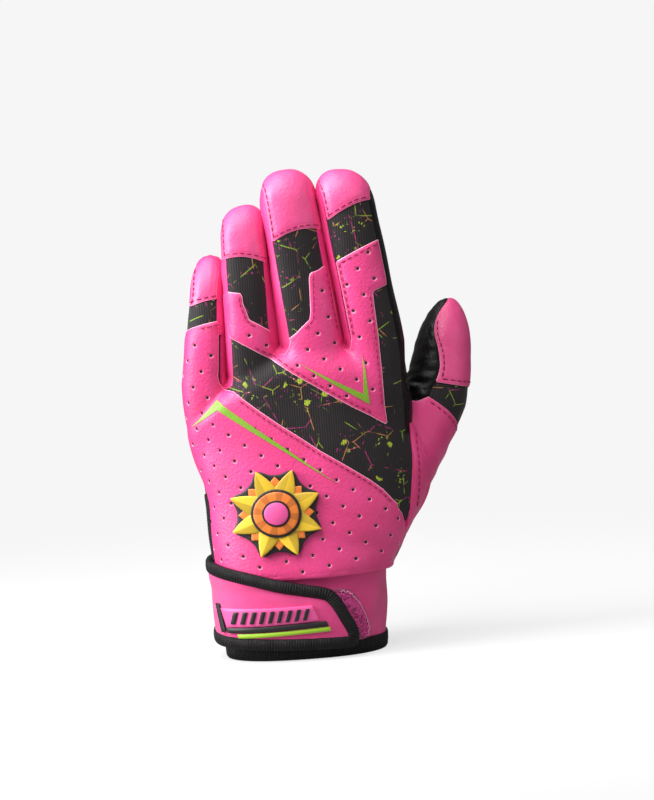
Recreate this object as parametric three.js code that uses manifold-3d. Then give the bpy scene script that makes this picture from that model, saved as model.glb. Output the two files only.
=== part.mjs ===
// Batting glove for a left hand, posed as a hand fills it: cuff down, fingers up, back of the hand
// towards -Y, thumb towards +X. Sizes below are measured from the middle of the wrist opening at the
// bottom of the hem, and the finished glove is then centred over its footprint.
// Every panel is cut from one glove-shaped shell along the glove's seams, so neighbours share a seam.
import * as THREE from 'three';
import { mergeVertices } from 'three/addons/utils/BufferGeometryUtils.js';
import Module from 'manifold-3d';

const wasm = await Module();
wasm.setup();

// Walls and clearances, in millimetres
const wall = 1.6; // leather and stretch panels
const cuffWall = 2.0; // neoprene cuff band
const seamGap = 0.3; // between neighbouring pieces
const fit = 0.3; // between layers that lie on each other

// Hand: each station is a height with the ulnar edge, the thumb edge, the back and the palm there
const handStations = [
  { height: 0, ulnar: -37.4, thumb: 36.6, back: -26.5, palm: 25.5 },
  { height: 20, ulnar: -38.1, thumb: 38.3, back: -27.5, palm: 26.5 },
  { height: 36, ulnar: -38.1, thumb: 39.6, back: -27, palm: 26 },
  { height: 46, ulnar: -38.4, thumb: 43.8, back: -25.5, palm: 25 },
  { height: 64, ulnar: -40, thumb: 51.6, back: -23, palm: 23 },
  { height: 84, ulnar: -42.3, thumb: 53.8, back: -20.5, palm: 20 },
  { height: 104, ulnar: -45, thumb: 53, back: -18, palm: 16 },
  { height: 120, ulnar: -47.2, thumb: 53, back: -16.5, palm: 13.5 },
  { height: 137, ulnar: -43.5, thumb: 51.5, back: -15.5, palm: 12 },
];
const handSquareness = 2.4; // exponent of the hand's superelliptic sections
const crotchCentre = 12; // where the knuckle line is highest
const crotchDrop = 15; // how far that line has fallen at the little finger's crotch
const crotchReach = 41; // sideways distance over which it falls that far
const knuckleRound = 15; // height over which the hand's top rounds off between the fingers
const levelTo = 60; // below this the hand's sections are level, above it they arch to the knuckle line
const ringSides = 30;
const ringSpacing = 15;

// Fingers: root is where the finger's axis crosses its crotch line, lean is towards the ulnar side
const fingerSquareness = 2.5;
const fingerSides = 18;
const hingeClear = 0.25; // from the finger's front to its flex axis
const fingers = {
  index: {
    rootX: 39.5, rootZ: 134.5, rootDepth: 30, centreY: -3, lean: 7.5, bend: 3, tilt: 0,
    length: 78, halfWidth: 12.5, tipHalfWidth: 12.2, halfDepth: 10.5, dome: 12,
    seamUlnar: 0.76, seamThumb: 0.82, tipSeam: 60.5, bandSeam: 43, slant: 0.3,
  },
  middle: {
    rootX: 12.5, rootZ: 137, rootDepth: 30, centreY: -3.5, lean: 6, bend: 4, tilt: 0.08,
    length: 77, halfWidth: 12.5, tipHalfWidth: 11.8, halfDepth: 10.5, dome: 13.5,
    seamUlnar: 0.81, seamThumb: 0.94, tipSeam: 48, bandSeam: 33, slant: 0.13,
  },
  ring: {
    rootX: -15.4, rootZ: 136, rootDepth: 30, centreY: -2.5, lean: 0, bend: 6, tilt: 0.06,
    length: 63.2, halfWidth: 10.2, tipHalfWidth: 9.6, halfDepth: 9.8, dome: 13,
    seamUlnar: 0.92, seamThumb: 0.94, tipSeam: 39.5, bandSeam: 26, slant: -0.16,
  },
  little: {
    rootX: -37.3, rootZ: 122, rootDepth: 16, centreY: 1, lean: -6, bend: 7, tilt: -0.12,
    length: 56, halfWidth: 9.1, tipHalfWidth: 6.8, halfDepth: 8.6, dome: 15,
    seamUlnar: 1.25, seamThumb: 0.66, tipSeam: 36.5, bandSeam: 27.5, slant: 0.3,
  },
};
const crotchRound = 2.2; // radius of the seam at the bottom of each gap between fingers

// Long stretch windows on the middle and ring finger, in the finger's own frame: across, along
const middleWindow = { step: 2.3, stepTop: 32, stepFoot: 13.5, foot: 3.6 };
const ringWindow = { step: -3, stepTop: 26, stepFoot: 14.6, foot: 8 };

// Seams on the back of the hand: where they meet the hand's edges, and the point of the upper panel
const upperSeamUlnar = 157; // upper panel's lower seam, carried out to the ulnar edge
const upperPointX = 42.1;
const upperPointZ = 99.7;
const upperStepX = 39.7; // where the upper panel narrows below the index knuckle
const upperStepZ = 159.2;
const lowerSeamStartZ = 122; // lower panel's seam at the little finger's crotch
const lowerSeamBendX = 33;
const lowerSeamBendZ = 76.6;
const lowerSeamEndX = 46.6;
const lowerSeamEndZ = 52.4;
const gussetTop = 99; // thumb gusset, between the stretch panel and the thumb
// The gusset's seam against the thumb's back
const gussetEdge = { highX: 51, highZ: 99, lowX: 64, lowZ: 72, depth: 14 };
const ulnarSeam = { ventY: -4, palmY: 5, turnZ: 96 }; // seam between back and palm on the ulnar side
const thumbSideSeamY = 6; // the same seam on the thumb side, below the gusset's top
const sideStrip = 2.6; // black leather that shows beside the index finger and the hand

// Thumb
const thumbPath = [
  [37, 2, 50],
  [49.7, 9, 78],
  [64.7, 17, 108],
  [70, 22, 130],
  [74.2, 24, 150.3],
];
const thumbBack = [1, 0, 0]; // the way the thumb's back faces
const thumbSections = {
  rootDepth: 13.5, rootWidth: 15, knuckleDepth: 13.4, knuckleWidth: 12.4, tipDepth: 9, tipWidth: 10,
};
const thumbDome = 20;
const thumbKnuckle = 0.6; // share of the path at the knuckle, where the flex axis lies
const thumbBandHalf = 6; // half the stretch band's height
const thumbSquareness = 2.1;

// Cuff, hem and vent
const cuffInset = wall + fit; // the cuff band is tucked inside the hand's lower edge by this
const hemHeight = 7;
const hemProud = 0.8;
const hemFold = 0.4; // the hem binding's thickness inside the cuff
const panelFoot = 36; // bottom edge of the leather above the cuff
const cuffTuck = 4; // how far the cuff band runs up inside the hand
const ventTop = 72;
const ventHalfWidth = 5.2;
const ventTopHalfWidth = 3.2;
const ventCentreY = -4;
const bindingWidth = 2.4;
const bindingProud = 0.2;
const bindingFold = 0.2; // the vent binding's thickness inside the cuff

// Strap: its outline seen from the back of the hand
const strapLift = 0.5; // strap's underside above the hand's surface
const strapThick = 2.0;
const strapBinding = 5; // width of the strap's edge binding
const strapBindingProud = 0.5;
const strapRootX = -27; // where the strap leaves its sewn anchor on the palm side
const strapAnchor = 9; // length of the sewn anchor
const strapFootUlnar = 9.5;
const strapFootThumb = 5.2;
const strapTopUlnar = 44.5;
const strapTopThumb = 31;
const strapShoulderX = 10.5; // where the top edge turns down
const strapTipX = 24; // the furthest reach of the strap
const strapTipZ = 9;
const strapWristX = -40; // where its edges are level, at the ulnar side of the wrist
const hookWall = 0.7;
const loopWall = 0.9;
const loopReachX = 30;
const plateWall = 1.3;
const railWall = 1.9;

// Badge on the back of the hand
const badge = {
  x: -8.7, z: 65.3, radius: 22, base: 2.0, layer: 1.1, points: 8, rayInner: 12.2, rayOuter: 19.4,
  disc: 9.6, core: 5.2,
};

// Vertical reach that is past every piece, for cutting tools
const far = 400;

// Solids from meshes, and back
function solidFrom(geometry) {
  const bare = geometry.clone();
  for (const name of Object.keys(bare.attributes)) if (name !== 'position') bare.deleteAttribute(name);
  const merged = mergeVertices(bare, 1e-4);
  const vertProperties = new Float32Array(merged.attributes.position.array);
  const triVerts = new Uint32Array(merged.index.array);
  const made = new wasm.Manifold(new wasm.Mesh({ numProp: 3, vertProperties, triVerts }));
  if (made.volume() > 0) return made;
  for (let i = 0; i < triVerts.length; i += 3) triVerts.subarray(i, i + 3).reverse();
  return new wasm.Manifold(new wasm.Mesh({ numProp: 3, vertProperties, triVerts }));
}

function geometryFrom(solid) {
  const mesh = solid.getMesh();
  const positions = new Float32Array(mesh.numVert * 3);
  for (let i = 0; i < mesh.numVert; i++) {
    positions.set(mesh.vertProperties.subarray(i * mesh.numProp, i * mesh.numProp + 3), i * 3);
  }
  const geometry = new THREE.BufferGeometry();
  geometry.setAttribute('position', new THREE.BufferAttribute(positions, 3));
  geometry.setIndex(new THREE.BufferAttribute(new Uint32Array(mesh.triVerts), 1));
  return geometry;
}

// The biggest body of a cut solid, without the crumbs that a cut can leave
function mainBody(solid) {
  return solid.decompose().reduce((best, body) => (body.volume() > best.volume() ? body : best));
}

// Skin over closed rings of equal count, with a fan over the first and the last ring
function loft(rings) {
  const count = rings[0].length;
  const points = rings.flat();
  const index = [];
  for (let r = 0; r + 1 < rings.length; r++) {
    for (let i = 0; i < count; i++) {
      const a = r * count + i;
      const b = r * count + ((i + 1) % count);
      index.push(a, b, b + count, a, b + count, a + count);
    }
  }
  for (const [ring, flip] of [[0, true], [rings.length - 1, false]]) {
    const hub = points.length;
    const middle = new THREE.Vector3();
    for (const p of rings[ring]) middle.addScaledVector(p, 1 / count);
    points.push(middle);
    for (let i = 0; i < count; i++) {
      const a = ring * count + i;
      const b = ring * count + ((i + 1) % count);
      index.push(...(flip ? [b, a, hub] : [a, b, hub]));
    }
  }
  const geometry = new THREE.BufferGeometry().setFromPoints(points);
  geometry.setIndex(index);
  return solidFrom(geometry);
}

// Prism of an outline drawn across and up (x, z), running in depth from yLow to yHigh
function prism(outline, yLow = -far, yHigh = far) {
  const shape = new THREE.Shape(outline.map(([x, z]) => new THREE.Vector2(x, z)));
  const geometry = new THREE.ExtrudeGeometry(shape, { depth: yHigh - yLow, bevelEnabled: false });
  geometry.rotateX(Math.PI / 2);
  geometry.translate(0, yHigh, 0);
  return solidFrom(geometry);
}

function slab(zLow, zHigh) {
  return prism([[-far, zLow], [far, zLow], [far, zHigh], [-far, zHigh]]);
}

// Everything on the side of a plane that its normal points to
function halfSpace(point, normal) {
  const geometry = new THREE.BoxGeometry(2 * far, 2 * far, 2 * far);
  geometry.translate(0, 0, far);
  const up = new THREE.Vector3(0, 0, 1);
  geometry.applyQuaternion(new THREE.Quaternion().setFromUnitVectors(up, normal.clone().normalize()));
  geometry.translate(point.x, point.y, point.z);
  return solidFrom(geometry);
}

// An outline moved outwards by a distance, whichever way round it is drawn
function grown(outline, distance) {
  const area = THREE.ShapeUtils.area(outline.map(([x, z]) => new THREE.Vector2(x, z)));
  const turn = area > 0 ? 1 : -1;
  return outline.map(([x, z], i) => {
    const before = outline[(i + outline.length - 1) % outline.length];
    const after = outline[(i + 1) % outline.length];
    const inward = new THREE.Vector2(x - before[0], z - before[1]).normalize();
    const onward = new THREE.Vector2(after[0] - x, after[1] - z).normalize();
    const normal = new THREE.Vector2(inward.y + onward.y, -inward.x - onward.x).normalize();
    const reach = (turn * distance) / Math.max(0.5, Math.sqrt((1 + inward.dot(onward)) / 2));
    return [x + normal.x * reach, z + normal.y * reach];
  });
}

// Value of a station's field at a height, by a smooth curve through the stations
function handAt(height, field) {
  const last = handStations.length - 1;
  let i = handStations.findIndex((s) => s.height >= height) - 1;
  if (height >= handStations[last].height) i = last - 1;
  i = Math.max(0, i);
  const slope = (k) => {
    const a = handStations[Math.max(0, k - 1)];
    const b = handStations[Math.min(last, k + 1)];
    return (b[field] - a[field]) / (b.height - a.height);
  };
  const [a, b] = [handStations[i], handStations[i + 1]];
  const run = b.height - a.height;
  const t = Math.min(1, Math.max(0, (height - a.height) / run));
  const [t2, t3] = [t * t, t * t * t];
  return (
    (2 * t3 - 3 * t2 + 1) * a[field] + (t3 - 2 * t2 + t) * run * slope(i) +
    (-2 * t3 + 3 * t2) * b[field] + (t3 - t2) * run * slope(i + 1)
  );
}

const signedPower = (value, power) => Math.sign(value) * Math.abs(value) ** power;
const handTop = handStations[handStations.length - 1].height;
const topOver = (x) => handTop - crotchDrop * ((x - crotchCentre) / crotchReach) ** 2;

// The hand without its fingers, with its surface moved outwards by an offset
function hand(offset, foot = 0) {
  const rings = [];
  const levels = [];
  for (let level = foot; level < handTop - knuckleRound; level += ringSpacing) levels.push(level);
  for (const share of [0, 0.5, 0.8, 0.96]) levels.push(handTop - knuckleRound * (1 - share));
  for (const level of levels) {
    const round = Math.max(0, (level - (handTop - knuckleRound)) / knuckleRound);
    const thick = Math.sqrt(1 - round * round);
    const [ulnar, thumb] = [handAt(level, 'ulnar') - offset, handAt(level, 'thumb') + offset];
    const [back, palm] = [handAt(level, 'back') - offset, handAt(level, 'palm') + offset];
    const ring = [];
    for (let i = 0; i < ringSides; i++) {
      const angle = (2 * Math.PI * i) / ringSides;
      const across = signedPower(Math.cos(angle), 2 / handSquareness);
      const deep = thick * signedPower(Math.sin(angle), 2 / handSquareness);
      const x = (ulnar + thumb) / 2 + ((thumb - ulnar) / 2) * across;
      const y = (back + palm) / 2 + ((palm - back) / 2) * deep;
      const arch = (topOver(x) + offset - levelTo) / (handTop - levelTo);
      ring.push(new THREE.Vector3(x, y, level > levelTo ? levelTo + (level - levelTo) * arch : level));
    }
    rings.push(ring);
  }
  return loft(rings);
}

// A point of a finger from its own frame: across to the thumb side, in depth, and along from its root.
// Below its root a finger runs straight down into the hand.
function fingerPoint(finger, across, depth, along) {
  const lean = THREE.MathUtils.degToRad(finger.lean);
  const up = Math.max(0, along);
  return new THREE.Vector3(
    finger.rootX + across * Math.cos(lean) - up * Math.sin(lean),
    finger.centreY + depth + finger.tilt * across + finger.bend * (up / finger.length) ** 2,
    finger.rootZ + across * Math.sin(lean) + up * Math.cos(lean) + along - up,
  );
}

function fingerHalfWidth(finger, along) {
  const share = Math.min(1, Math.max(0, along / finger.length));
  return finger.halfWidth + (finger.tipHalfWidth - finger.halfWidth) * share;
}

// A finger's tube from a station to its domed tip, with its surface moved outwards by an offset
function fingerTube(finger, offset, from = -finger.rootDepth) {
  const domeFoot = finger.length - finger.dome;
  const stations = [];
  for (const share of [0, 0.33, 0.67, 1]) stations.push(from + (domeFoot - from) * share);
  for (const share of [0.4, 0.7, 0.9, 0.985]) stations.push(domeFoot + (finger.dome + offset) * share);
  const rings = stations.map((along) => {
    const rise = Math.max(0, (along - domeFoot) / (finger.dome + offset));
    const size = (1 - rise ** fingerSquareness) ** (1 / fingerSquareness);
    const ring = [];
    for (let i = 0; i < fingerSides; i++) {
      const angle = (2 * Math.PI * i) / fingerSides;
      const across = size * signedPower(Math.cos(angle), 2 / fingerSquareness);
      const depth = size * signedPower(Math.sin(angle), 2 / fingerSquareness);
      const halfWidth = fingerHalfWidth(finger, along) + offset;
      ring.push(fingerPoint(finger, halfWidth * across, (finger.halfDepth + offset) * depth, along));
    }
    return ring;
  });
  return loft(rings);
}

const flat = (point) => [point.x, point.z];
function seamPoint(finger, side, along) {
  const share = side < 0 ? -finger.seamUlnar : finger.seamThumb;
  return flat(fingerPoint(finger, share * fingerHalfWidth(finger, along), 0, along));
}

// The outline that a finger's back and front panels are cut to, from the hand up and round the tip
function fingerOutline(finger, foot = -finger.rootDepth) {
  const domeFoot = finger.length - finger.dome;
  const outline = [seamPoint(finger, 1, foot), seamPoint(finger, 1, 0), seamPoint(finger, 1, domeFoot)];
  const steps = 10;
  for (let i = 1; i < steps; i++) {
    const angle = (Math.PI * i) / steps;
    const share = Math.cos(angle) < 0 ? finger.seamUlnar : finger.seamThumb;
    const across = share * fingerHalfWidth(finger, domeFoot);
    const along = Math.min(share, 0.9) * finger.dome;
    const sideways = signedPower(Math.cos(angle), 2 / fingerSquareness);
    const upwards = signedPower(Math.sin(angle), 2 / fingerSquareness);
    outline.push(flat(fingerPoint(finger, across * sideways, 0, domeFoot + along * upwards)));
  }
  outline.push(seamPoint(finger, -1, domeFoot), seamPoint(finger, -1, 0), seamPoint(finger, -1, foot));
  return outline;
}

// A slanting seam across a finger, as the outline of everything beyond it towards the tip
function beyondSeam(finger, along, bow = 0) {
  const reach = 2 * finger.halfWidth;
  const outline = [-1, -0.5, 0, 0.5, 1].map((share) => {
    const rise = finger.slant * share * finger.halfWidth + bow * (1 - share * share);
    return flat(fingerPoint(finger, share * reach * 0.75, 0, along + rise));
  });
  outline.push(flat(fingerPoint(finger, reach, 0, finger.length + reach)));
  outline.push(flat(fingerPoint(finger, -reach, 0, finger.length + reach)));
  return outline;
}

const { index, middle, ring, little } = fingers;
const all = Object.values(fingers);
const hingeAlong = (finger) => (finger.tipSeam + finger.bandSeam) / 2;

// The whole shell of the hand and its fingers
const join = (solids) => solids.reduce((sum, solid) => sum.add(solid));
const gloveOuter = join([hand(0), ...all.map((f) => fingerTube(f, 0))]);
const gloveInner = join([hand(-wall, -1), ...all.map((f) => fingerTube(f, -wall))]);
const shell = gloveOuter.subtract(gloveInner).intersect(slab(panelFoot, far));

// The palm's side of the seam that runs up the ulnar edge and down the thumb edge
function palmSide(shift) {
  const slope = (ulnarY, thumbY) => (x) => ulnarY + ((thumbY - ulnarY) * (x + 46)) / 100;
  const rows = [
    [-far, slope(ulnarSeam.ventY, thumbSideSeamY)],
    [ventTop, slope(ulnarSeam.ventY, thumbSideSeamY)],
    [ulnarSeam.turnZ, slope(ulnarSeam.palmY, thumbSideSeamY)],
    [ulnarSeam.turnZ + 14, slope(ulnarSeam.palmY, index.centreY - 4)],
    [far, slope(ulnarSeam.palmY, index.centreY - 4)],
  ];
  const columns = [-90, -46, -30, -14, 2, 18, 34, 54, 90];
  return loft(rows.map(([z, seam]) => [
    ...columns.map((x) => new THREE.Vector3(x, seam(x) + shift, z)),
    new THREE.Vector3(90, far, z), new THREE.Vector3(-90, far, z),
  ]));
}

// The gap between two neighbouring fingers, seen from the back, from its foot up past both flex axes
function slotOutline(ulnarFinger, thumbFinger) {
  const past = 8;
  const ulnarRoot = seamPoint(ulnarFinger, 1, 0);
  const thumbRoot = seamPoint(thumbFinger, -1, 0);
  const footX = (ulnarRoot[0] + thumbRoot[0]) / 2;
  const footZ = topOver(footX) - crotchRound + 0.4;
  const half = Math.min(crotchRound, (thumbRoot[0] - ulnarRoot[0]) / 3);
  const above = (finger, side) => {
    const rise = topOver(footX) + crotchRound * 2 - finger.rootZ;
    return seamPoint(finger, side, rise / Math.cos(THREE.MathUtils.degToRad(finger.lean)));
  };
  return [
    above(ulnarFinger, 1), [footX - half, footZ], [footX + half, footZ], above(thumbFinger, -1),
    seamPoint(thumbFinger, -1, hingeAlong(thumbFinger) + past),
    seamPoint(ulnarFinger, 1, hingeAlong(ulnarFinger) + past),
  ];
}

// Black leather that wraps the thumb side of the index finger, from the thumb's crotch to the fingertip
const indexEdge = fingerOutline(index, 0).slice(1, 6);
const handEdge = [gussetTop, gussetTop + 18].map((z) => [handAt(z, 'thumb') - sideStrip, z]);
const indexEdgeTop = indexEdge[indexEdge.length - 1][1];
const sideOutline = [...handEdge, ...indexEdge, [far, indexEdgeTop], [far, gussetTop]];

const slots = { index_middle: [middle, index], middle_ring: [ring, middle], ring_little: [little, ring] };
const slotOutlines = Object.fromEntries(
  Object.entries(slots).map(([name, pair]) => [name, slotOutline(...pair)]),
);
const slotTools = join(Object.values(slotOutlines).map((outline) => prism(grown(outline, seamGap))));
const zoneTools = join(all.map((f) => fingerTube(f, 0.35, hingeAlong(f) - seamGap)));
const sideTool = prism(sideOutline);
const frontOf = palmSide(0);

// Vent slit on the ulnar side of the wrist, seen along X
function ventTool(narrower) {
  const outline = [
    [ventCentreY - ventHalfWidth + narrower, -far], [ventCentreY + ventHalfWidth - narrower, -far],
    [ventCentreY + ventTopHalfWidth - narrower, ventTop - narrower],
    [ventCentreY - ventTopHalfWidth + narrower, ventTop - narrower],
  ];
  const shape = new THREE.Shape(outline.map(([y, z]) => new THREE.Vector2(y, z)));
  const geometry = new THREE.ExtrudeGeometry(shape, { depth: far, bevelEnabled: false });
  geometry.rotateX(Math.PI / 2);
  geometry.rotateZ(-Math.PI / 2);
  return solidFrom(geometry);
}

// Thumb: a tube of its own that is sewn over a hole in the hand
const thumbCurve = new THREE.CatmullRomCurve3(thumbPath.map((p) => new THREE.Vector3(...p)));
const thumbLength = thumbCurve.getLength();
const thumbFacing = new THREE.Vector3(...thumbBack);
function thumbFrame(share) {
  const along = thumbCurve.getTangentAt(share);
  const back = thumbFacing.clone().addScaledVector(along, -thumbFacing.dot(along)).normalize();
  const across = new THREE.Vector3().crossVectors(along, back);
  return { at: thumbCurve.getPointAt(share), along, back, across };
}
function thumbSize(share) {
  const s = thumbSections;
  const low = Math.min(1, share / thumbKnuckle);
  const high = Math.max(0, (share - thumbKnuckle) / (1 - thumbKnuckle));
  const mix = (root, knuckle, tip) => root + (knuckle - root) * low + (tip - knuckle) * high;
  const depth = mix(s.rootDepth, s.knuckleDepth, s.tipDepth);
  const width = mix(s.rootWidth, s.knuckleWidth, s.tipWidth);
  return { depth, width };
}
function thumbTube(offset, from = 0) {
  const domeFoot = 1 - thumbDome / thumbLength;
  const stations = [];
  for (let i = 0; i <= 6; i++) stations.push(from + ((domeFoot - from) * i) / 6);
  const domeShare = (1 + offset / thumbDome) * (1 - domeFoot);
  for (const share of [0.4, 0.7, 0.9, 0.985]) stations.push(domeFoot + domeShare * share);
  return loft(stations.map((share) => {
    const held = Math.min(1, Math.max(0, share));
    const { at, along, back, across } = thumbFrame(held);
    const rise = Math.max(0, (share - domeFoot) / domeShare);
    const size = (1 - rise ** thumbSquareness) ** (1 / thumbSquareness);
    const { depth, width } = thumbSize(held);
    const ring = [];
    for (let i = 0; i < fingerSides; i++) {
      const angle = (2 * Math.PI * i) / fingerSides;
      const point = at.clone().addScaledVector(along, (share - held) * thumbLength);
      const deep = signedPower(Math.cos(angle), 2 / thumbSquareness);
      const wide = signedPower(Math.sin(angle), 2 / thumbSquareness);
      point.addScaledVector(back, (depth + offset) * size * deep);
      point.addScaledVector(across, (width + offset) * size * wide);
      ring.push(point);
    }
    return ring;
  }));
}

// Finishes
const finish = (color, roughness) => new THREE.MeshStandardMaterial({ color, roughness, metalness: 0 });
const pinkLeather = finish(0xee4f93, 0.55);
const smoothLeather = finish(0xe65f9b, 0.5);
const stretch = finish(0x2b2b33, 0.8);
const blackLeather = finish(0x151517, 0.35);
const neoprene = finish(0xef5a9a, 0.85);
const ribbon = finish(0x1b1b1d, 0.7);
const fleece = finish(0xc2306f, 0.95);
const rubberPink = finish(0xf2559c, 0.4);
const rubberBlack = finish(0x101012, 0.4);
const rubberLime = finish(0xc8f03a, 0.4);
const rubberYellow = finish(0xf6d21f, 0.4);
const rubberOrange = finish(0xf07a1c, 0.4);

const glove = new THREE.Group();
function add(name, solid, material) {
  const mesh = new THREE.Mesh(geometryFrom(mainBody(solid)), material);
  mesh.name = name;
  glove.add(mesh);
}

// Palm and the back of the hand
const thumbHole = thumbTube(-wall);
const body = shell.subtract(ventTool(0)).subtract(thumbHole);
const palm = body.intersect(frontOf).add(body.intersect(sideTool)).subtract(slotTools).subtract(zoneTools);
add('palm_panel', palm, blackLeather);

const sideToolGrown = prism(grown(sideOutline, seamGap));
let back = body.subtract(palmSide(-seamGap)).subtract(sideToolGrown).subtract(slotTools);
// Cuts one panel from what is left of the back, along an outline seen from the back, and within a
// finger if one is given
function cutBack(name, outline, material, finger) {
  const within = finger ? fingerTube(finger, 0.35) : slab(-far, far);
  if (name) add(name, back.intersect(prism(outline)).intersect(within), material);
  back = back.subtract(prism(grown(outline, seamGap)).intersect(within));
}

// Fingertips: back panel, front and the strip round their edge
for (const [name, finger] of Object.entries(fingers)) {
  const zone = shell.intersect(fingerTube(finger, 0.35, hingeAlong(finger)));
  const middleY = fingerPoint(finger, 0, 0, hingeAlong(finger) + 8).y;
  const frontHalf = halfSpace(new THREE.Vector3(0, middleY, 0), new THREE.Vector3(0, 1, 0));
  const backHalf = halfSpace(new THREE.Vector3(0, middleY - seamGap, 0), new THREE.Vector3(0, -1, 0));
  const outline = prism(fingerOutline(finger));
  const tipOutline = beyondSeam(finger, finger.tipSeam);
  const beside = finger === index ? sideTool : prism([[far, far], [far + 1, far], [far + 1, far + 1]]);
  const besideGrown = finger === index ? sideToolGrown : beside;
  const around = zone.subtract(prism(grown(fingerOutline(finger), seamGap))).subtract(besideGrown);
  const tipBack = zone.intersect(outline).intersect(backHalf).intersect(prism(tipOutline))
    .subtract(besideGrown);
  const tipFront = zone.intersect(outline).intersect(frontHalf).add(zone.intersect(beside));
  add(`${name}_tip_panel`, tipBack, smoothLeather);
  add(`${name}_tip_front`, tipFront, blackLeather);
  add(`${name}_tip_fourchette`, around, smoothLeather);
  back = back.subtract(frontHalf.intersect(fingerTube(finger, 0.35, finger.bandSeam - finger.halfWidth)));
  cutBack(null, tipOutline, null, finger);
}

// Stretch pieces over the knuckles
cutBack('index_stretch_band', beyondSeam(index, index.bandSeam), stretch, index);
cutBack('little_stretch_band', beyondSeam(little, little.bandSeam), stretch, little);
const at = (finger, across, along) => flat(fingerPoint(finger, across, 0, along));
const middleReach = 1.4 * middle.halfWidth;
cutBack('middle_stretch_panel', [
  at(middle, -middleReach, middleWindow.foot),
  at(middle, -middle.seamUlnar * middle.halfWidth, middleWindow.foot),
  at(middle, middleWindow.step, middleWindow.stepFoot),
  at(middle, middleWindow.step, middleWindow.stepTop),
  at(middle, middleReach, middle.bandSeam + 1), at(middle, middleReach, middle.length + middleReach),
  at(middle, -middleReach, middle.length + middleReach),
], stretch, middle);
const ringReach = 1.4 * ring.halfWidth;
cutBack('ring_stretch_panel', [
  at(ring, -ringReach, ringWindow.stepTop), at(ring, ringWindow.step, ringWindow.stepTop),
  at(ring, ringWindow.step + 2, ringWindow.stepFoot),
  at(ring, ring.seamThumb * ring.halfWidth, ringWindow.foot),
  at(ring, ringReach, ringWindow.foot), at(ring, ringReach, ring.length + ringReach),
  at(ring, -ringReach, ring.length + ringReach),
], stretch, ring);

// Perforated panels, with the printed stretch panel as what is left between them
const pointX = upperPointX;
const seamSlope = (upperPointZ - upperSeamUlnar) / (pointX + 46);
const ringEdge = at(ring, -1.3 * ring.halfWidth, 0);
cutBack('back_upper_panel', [
  [pointX, upperPointZ], [upperStepX, upperStepZ], at(index, 1.4 * index.halfWidth, 29),
  at(index, 1.4 * index.halfWidth, index.length), [ringEdge[0], index.rootZ + index.length],
  [ringEdge[0], upperPointZ + seamSlope * (ringEdge[0] - pointX)],
], pinkLeather);
const lowerCurve = new THREE.SplineCurve([
  new THREE.Vector2(seamPoint(ring, -1, 0)[0] - 1, lowerSeamStartZ),
  new THREE.Vector2((lowerSeamBendX - 28) / 2, (lowerSeamBendZ + lowerSeamStartZ) / 2),
  new THREE.Vector2(lowerSeamBendX, lowerSeamBendZ),
  new THREE.Vector2(lowerSeamEndX, lowerSeamEndZ),
]);
const lowerSeam = lowerCurve.getPoints(14).map((p) => [p.x, p.y]);
const littleOuter = at(little, -2 * little.halfWidth, little.length);
cutBack('back_lower_panel', [
  [-far, 0], [-far, littleOuter[1]], littleOuter,
  seamPoint(little, 1, little.length), seamPoint(little, 1, 4),
  ...lowerSeam, [far, lowerSeamEndZ], [far, 0],
], pinkLeather);
add('back_stretch_panel', back, stretch);
for (const [name, outline] of Object.entries(slotOutlines)) {
  add(`${name}_fourchette`, body.intersect(prism(outline)).subtract(zoneTools), smoothLeather);
}

// Thumb panels
const thumbShell = thumbTube(0).subtract(thumbTube(-wall, -0.05)).subtract(hand(fit));
const knuckle = thumbFrame(thumbKnuckle);
// Everything beyond a cut across the thumb, a lift above its knuckle, towards the tip or the root
function crossing(lift, way) {
  const point = knuckle.at.clone().addScaledVector(knuckle.along, lift);
  return halfSpace(point, knuckle.along.clone().multiplyScalar(way));
}
const thumbBackHalf = halfSpace(knuckle.at.clone().addScaledVector(knuckle.back, seamGap), knuckle.back);
const thumbFrontHalf = halfSpace(knuckle.at, knuckle.back.clone().negate());
const thumbBackShell = thumbShell.intersect(thumbBackHalf);
const thumbFrontShell = thumbShell.intersect(thumbFrontHalf);
add('thumb_tip_panel', thumbBackShell.intersect(crossing(thumbBandHalf, 1)), smoothLeather);
const thumbBelowTip = thumbBackShell.intersect(crossing(thumbBandHalf - seamGap, -1));
add('thumb_stretch_band', thumbBelowTip.intersect(crossing(-thumbBandHalf, 1)), stretch);
const gussetLine = [[gussetEdge.highX, gussetEdge.highZ], [gussetEdge.lowX, gussetEdge.lowZ]];
const gussetField = [...gussetLine, [gussetEdge.lowX, -far], [-far, -far], [-far, gussetEdge.highZ]];
const thumbBase = thumbBackShell.intersect(crossing(-thumbBandHalf - seamGap, -1));
const gussetTool = prism(grown(gussetField, seamGap), -far, gussetEdge.depth + seamGap);
add('thumb_back_panel', thumbBase.subtract(gussetTool), pinkLeather);
add('thumb_gusset', thumbBase.intersect(prism(gussetField, -far, gussetEdge.depth)), pinkLeather);
add('thumb_tip_front', thumbFrontShell.intersect(crossing(0, 1)), blackLeather);
add('thumb_front_panel', thumbFrontShell.intersect(crossing(-seamGap, -1)), blackLeather);

// Cuff
const cuffOuter = hand(-cuffInset);
const cuffCut = ventTool(0);
add('cuff_band', cuffOuter.subtract(hand(-cuffInset - cuffWall, -1))
  .intersect(slab(hemHeight + seamGap, panelFoot + cuffTuck)).subtract(cuffCut), neoprene);
add('hem_binding', hand(hemProud - cuffInset).subtract(hand(-cuffInset - cuffWall - hemFold, -1))
  .intersect(slab(0, hemHeight)).subtract(cuffCut), ribbon);
add('vent_binding', hand(bindingProud).subtract(hand(-cuffInset - cuffWall - bindingFold, -1))
  .intersect(ventTool(seamGap)).subtract(ventTool(bindingWidth)).intersect(slab(0, far)), ribbon);

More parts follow.
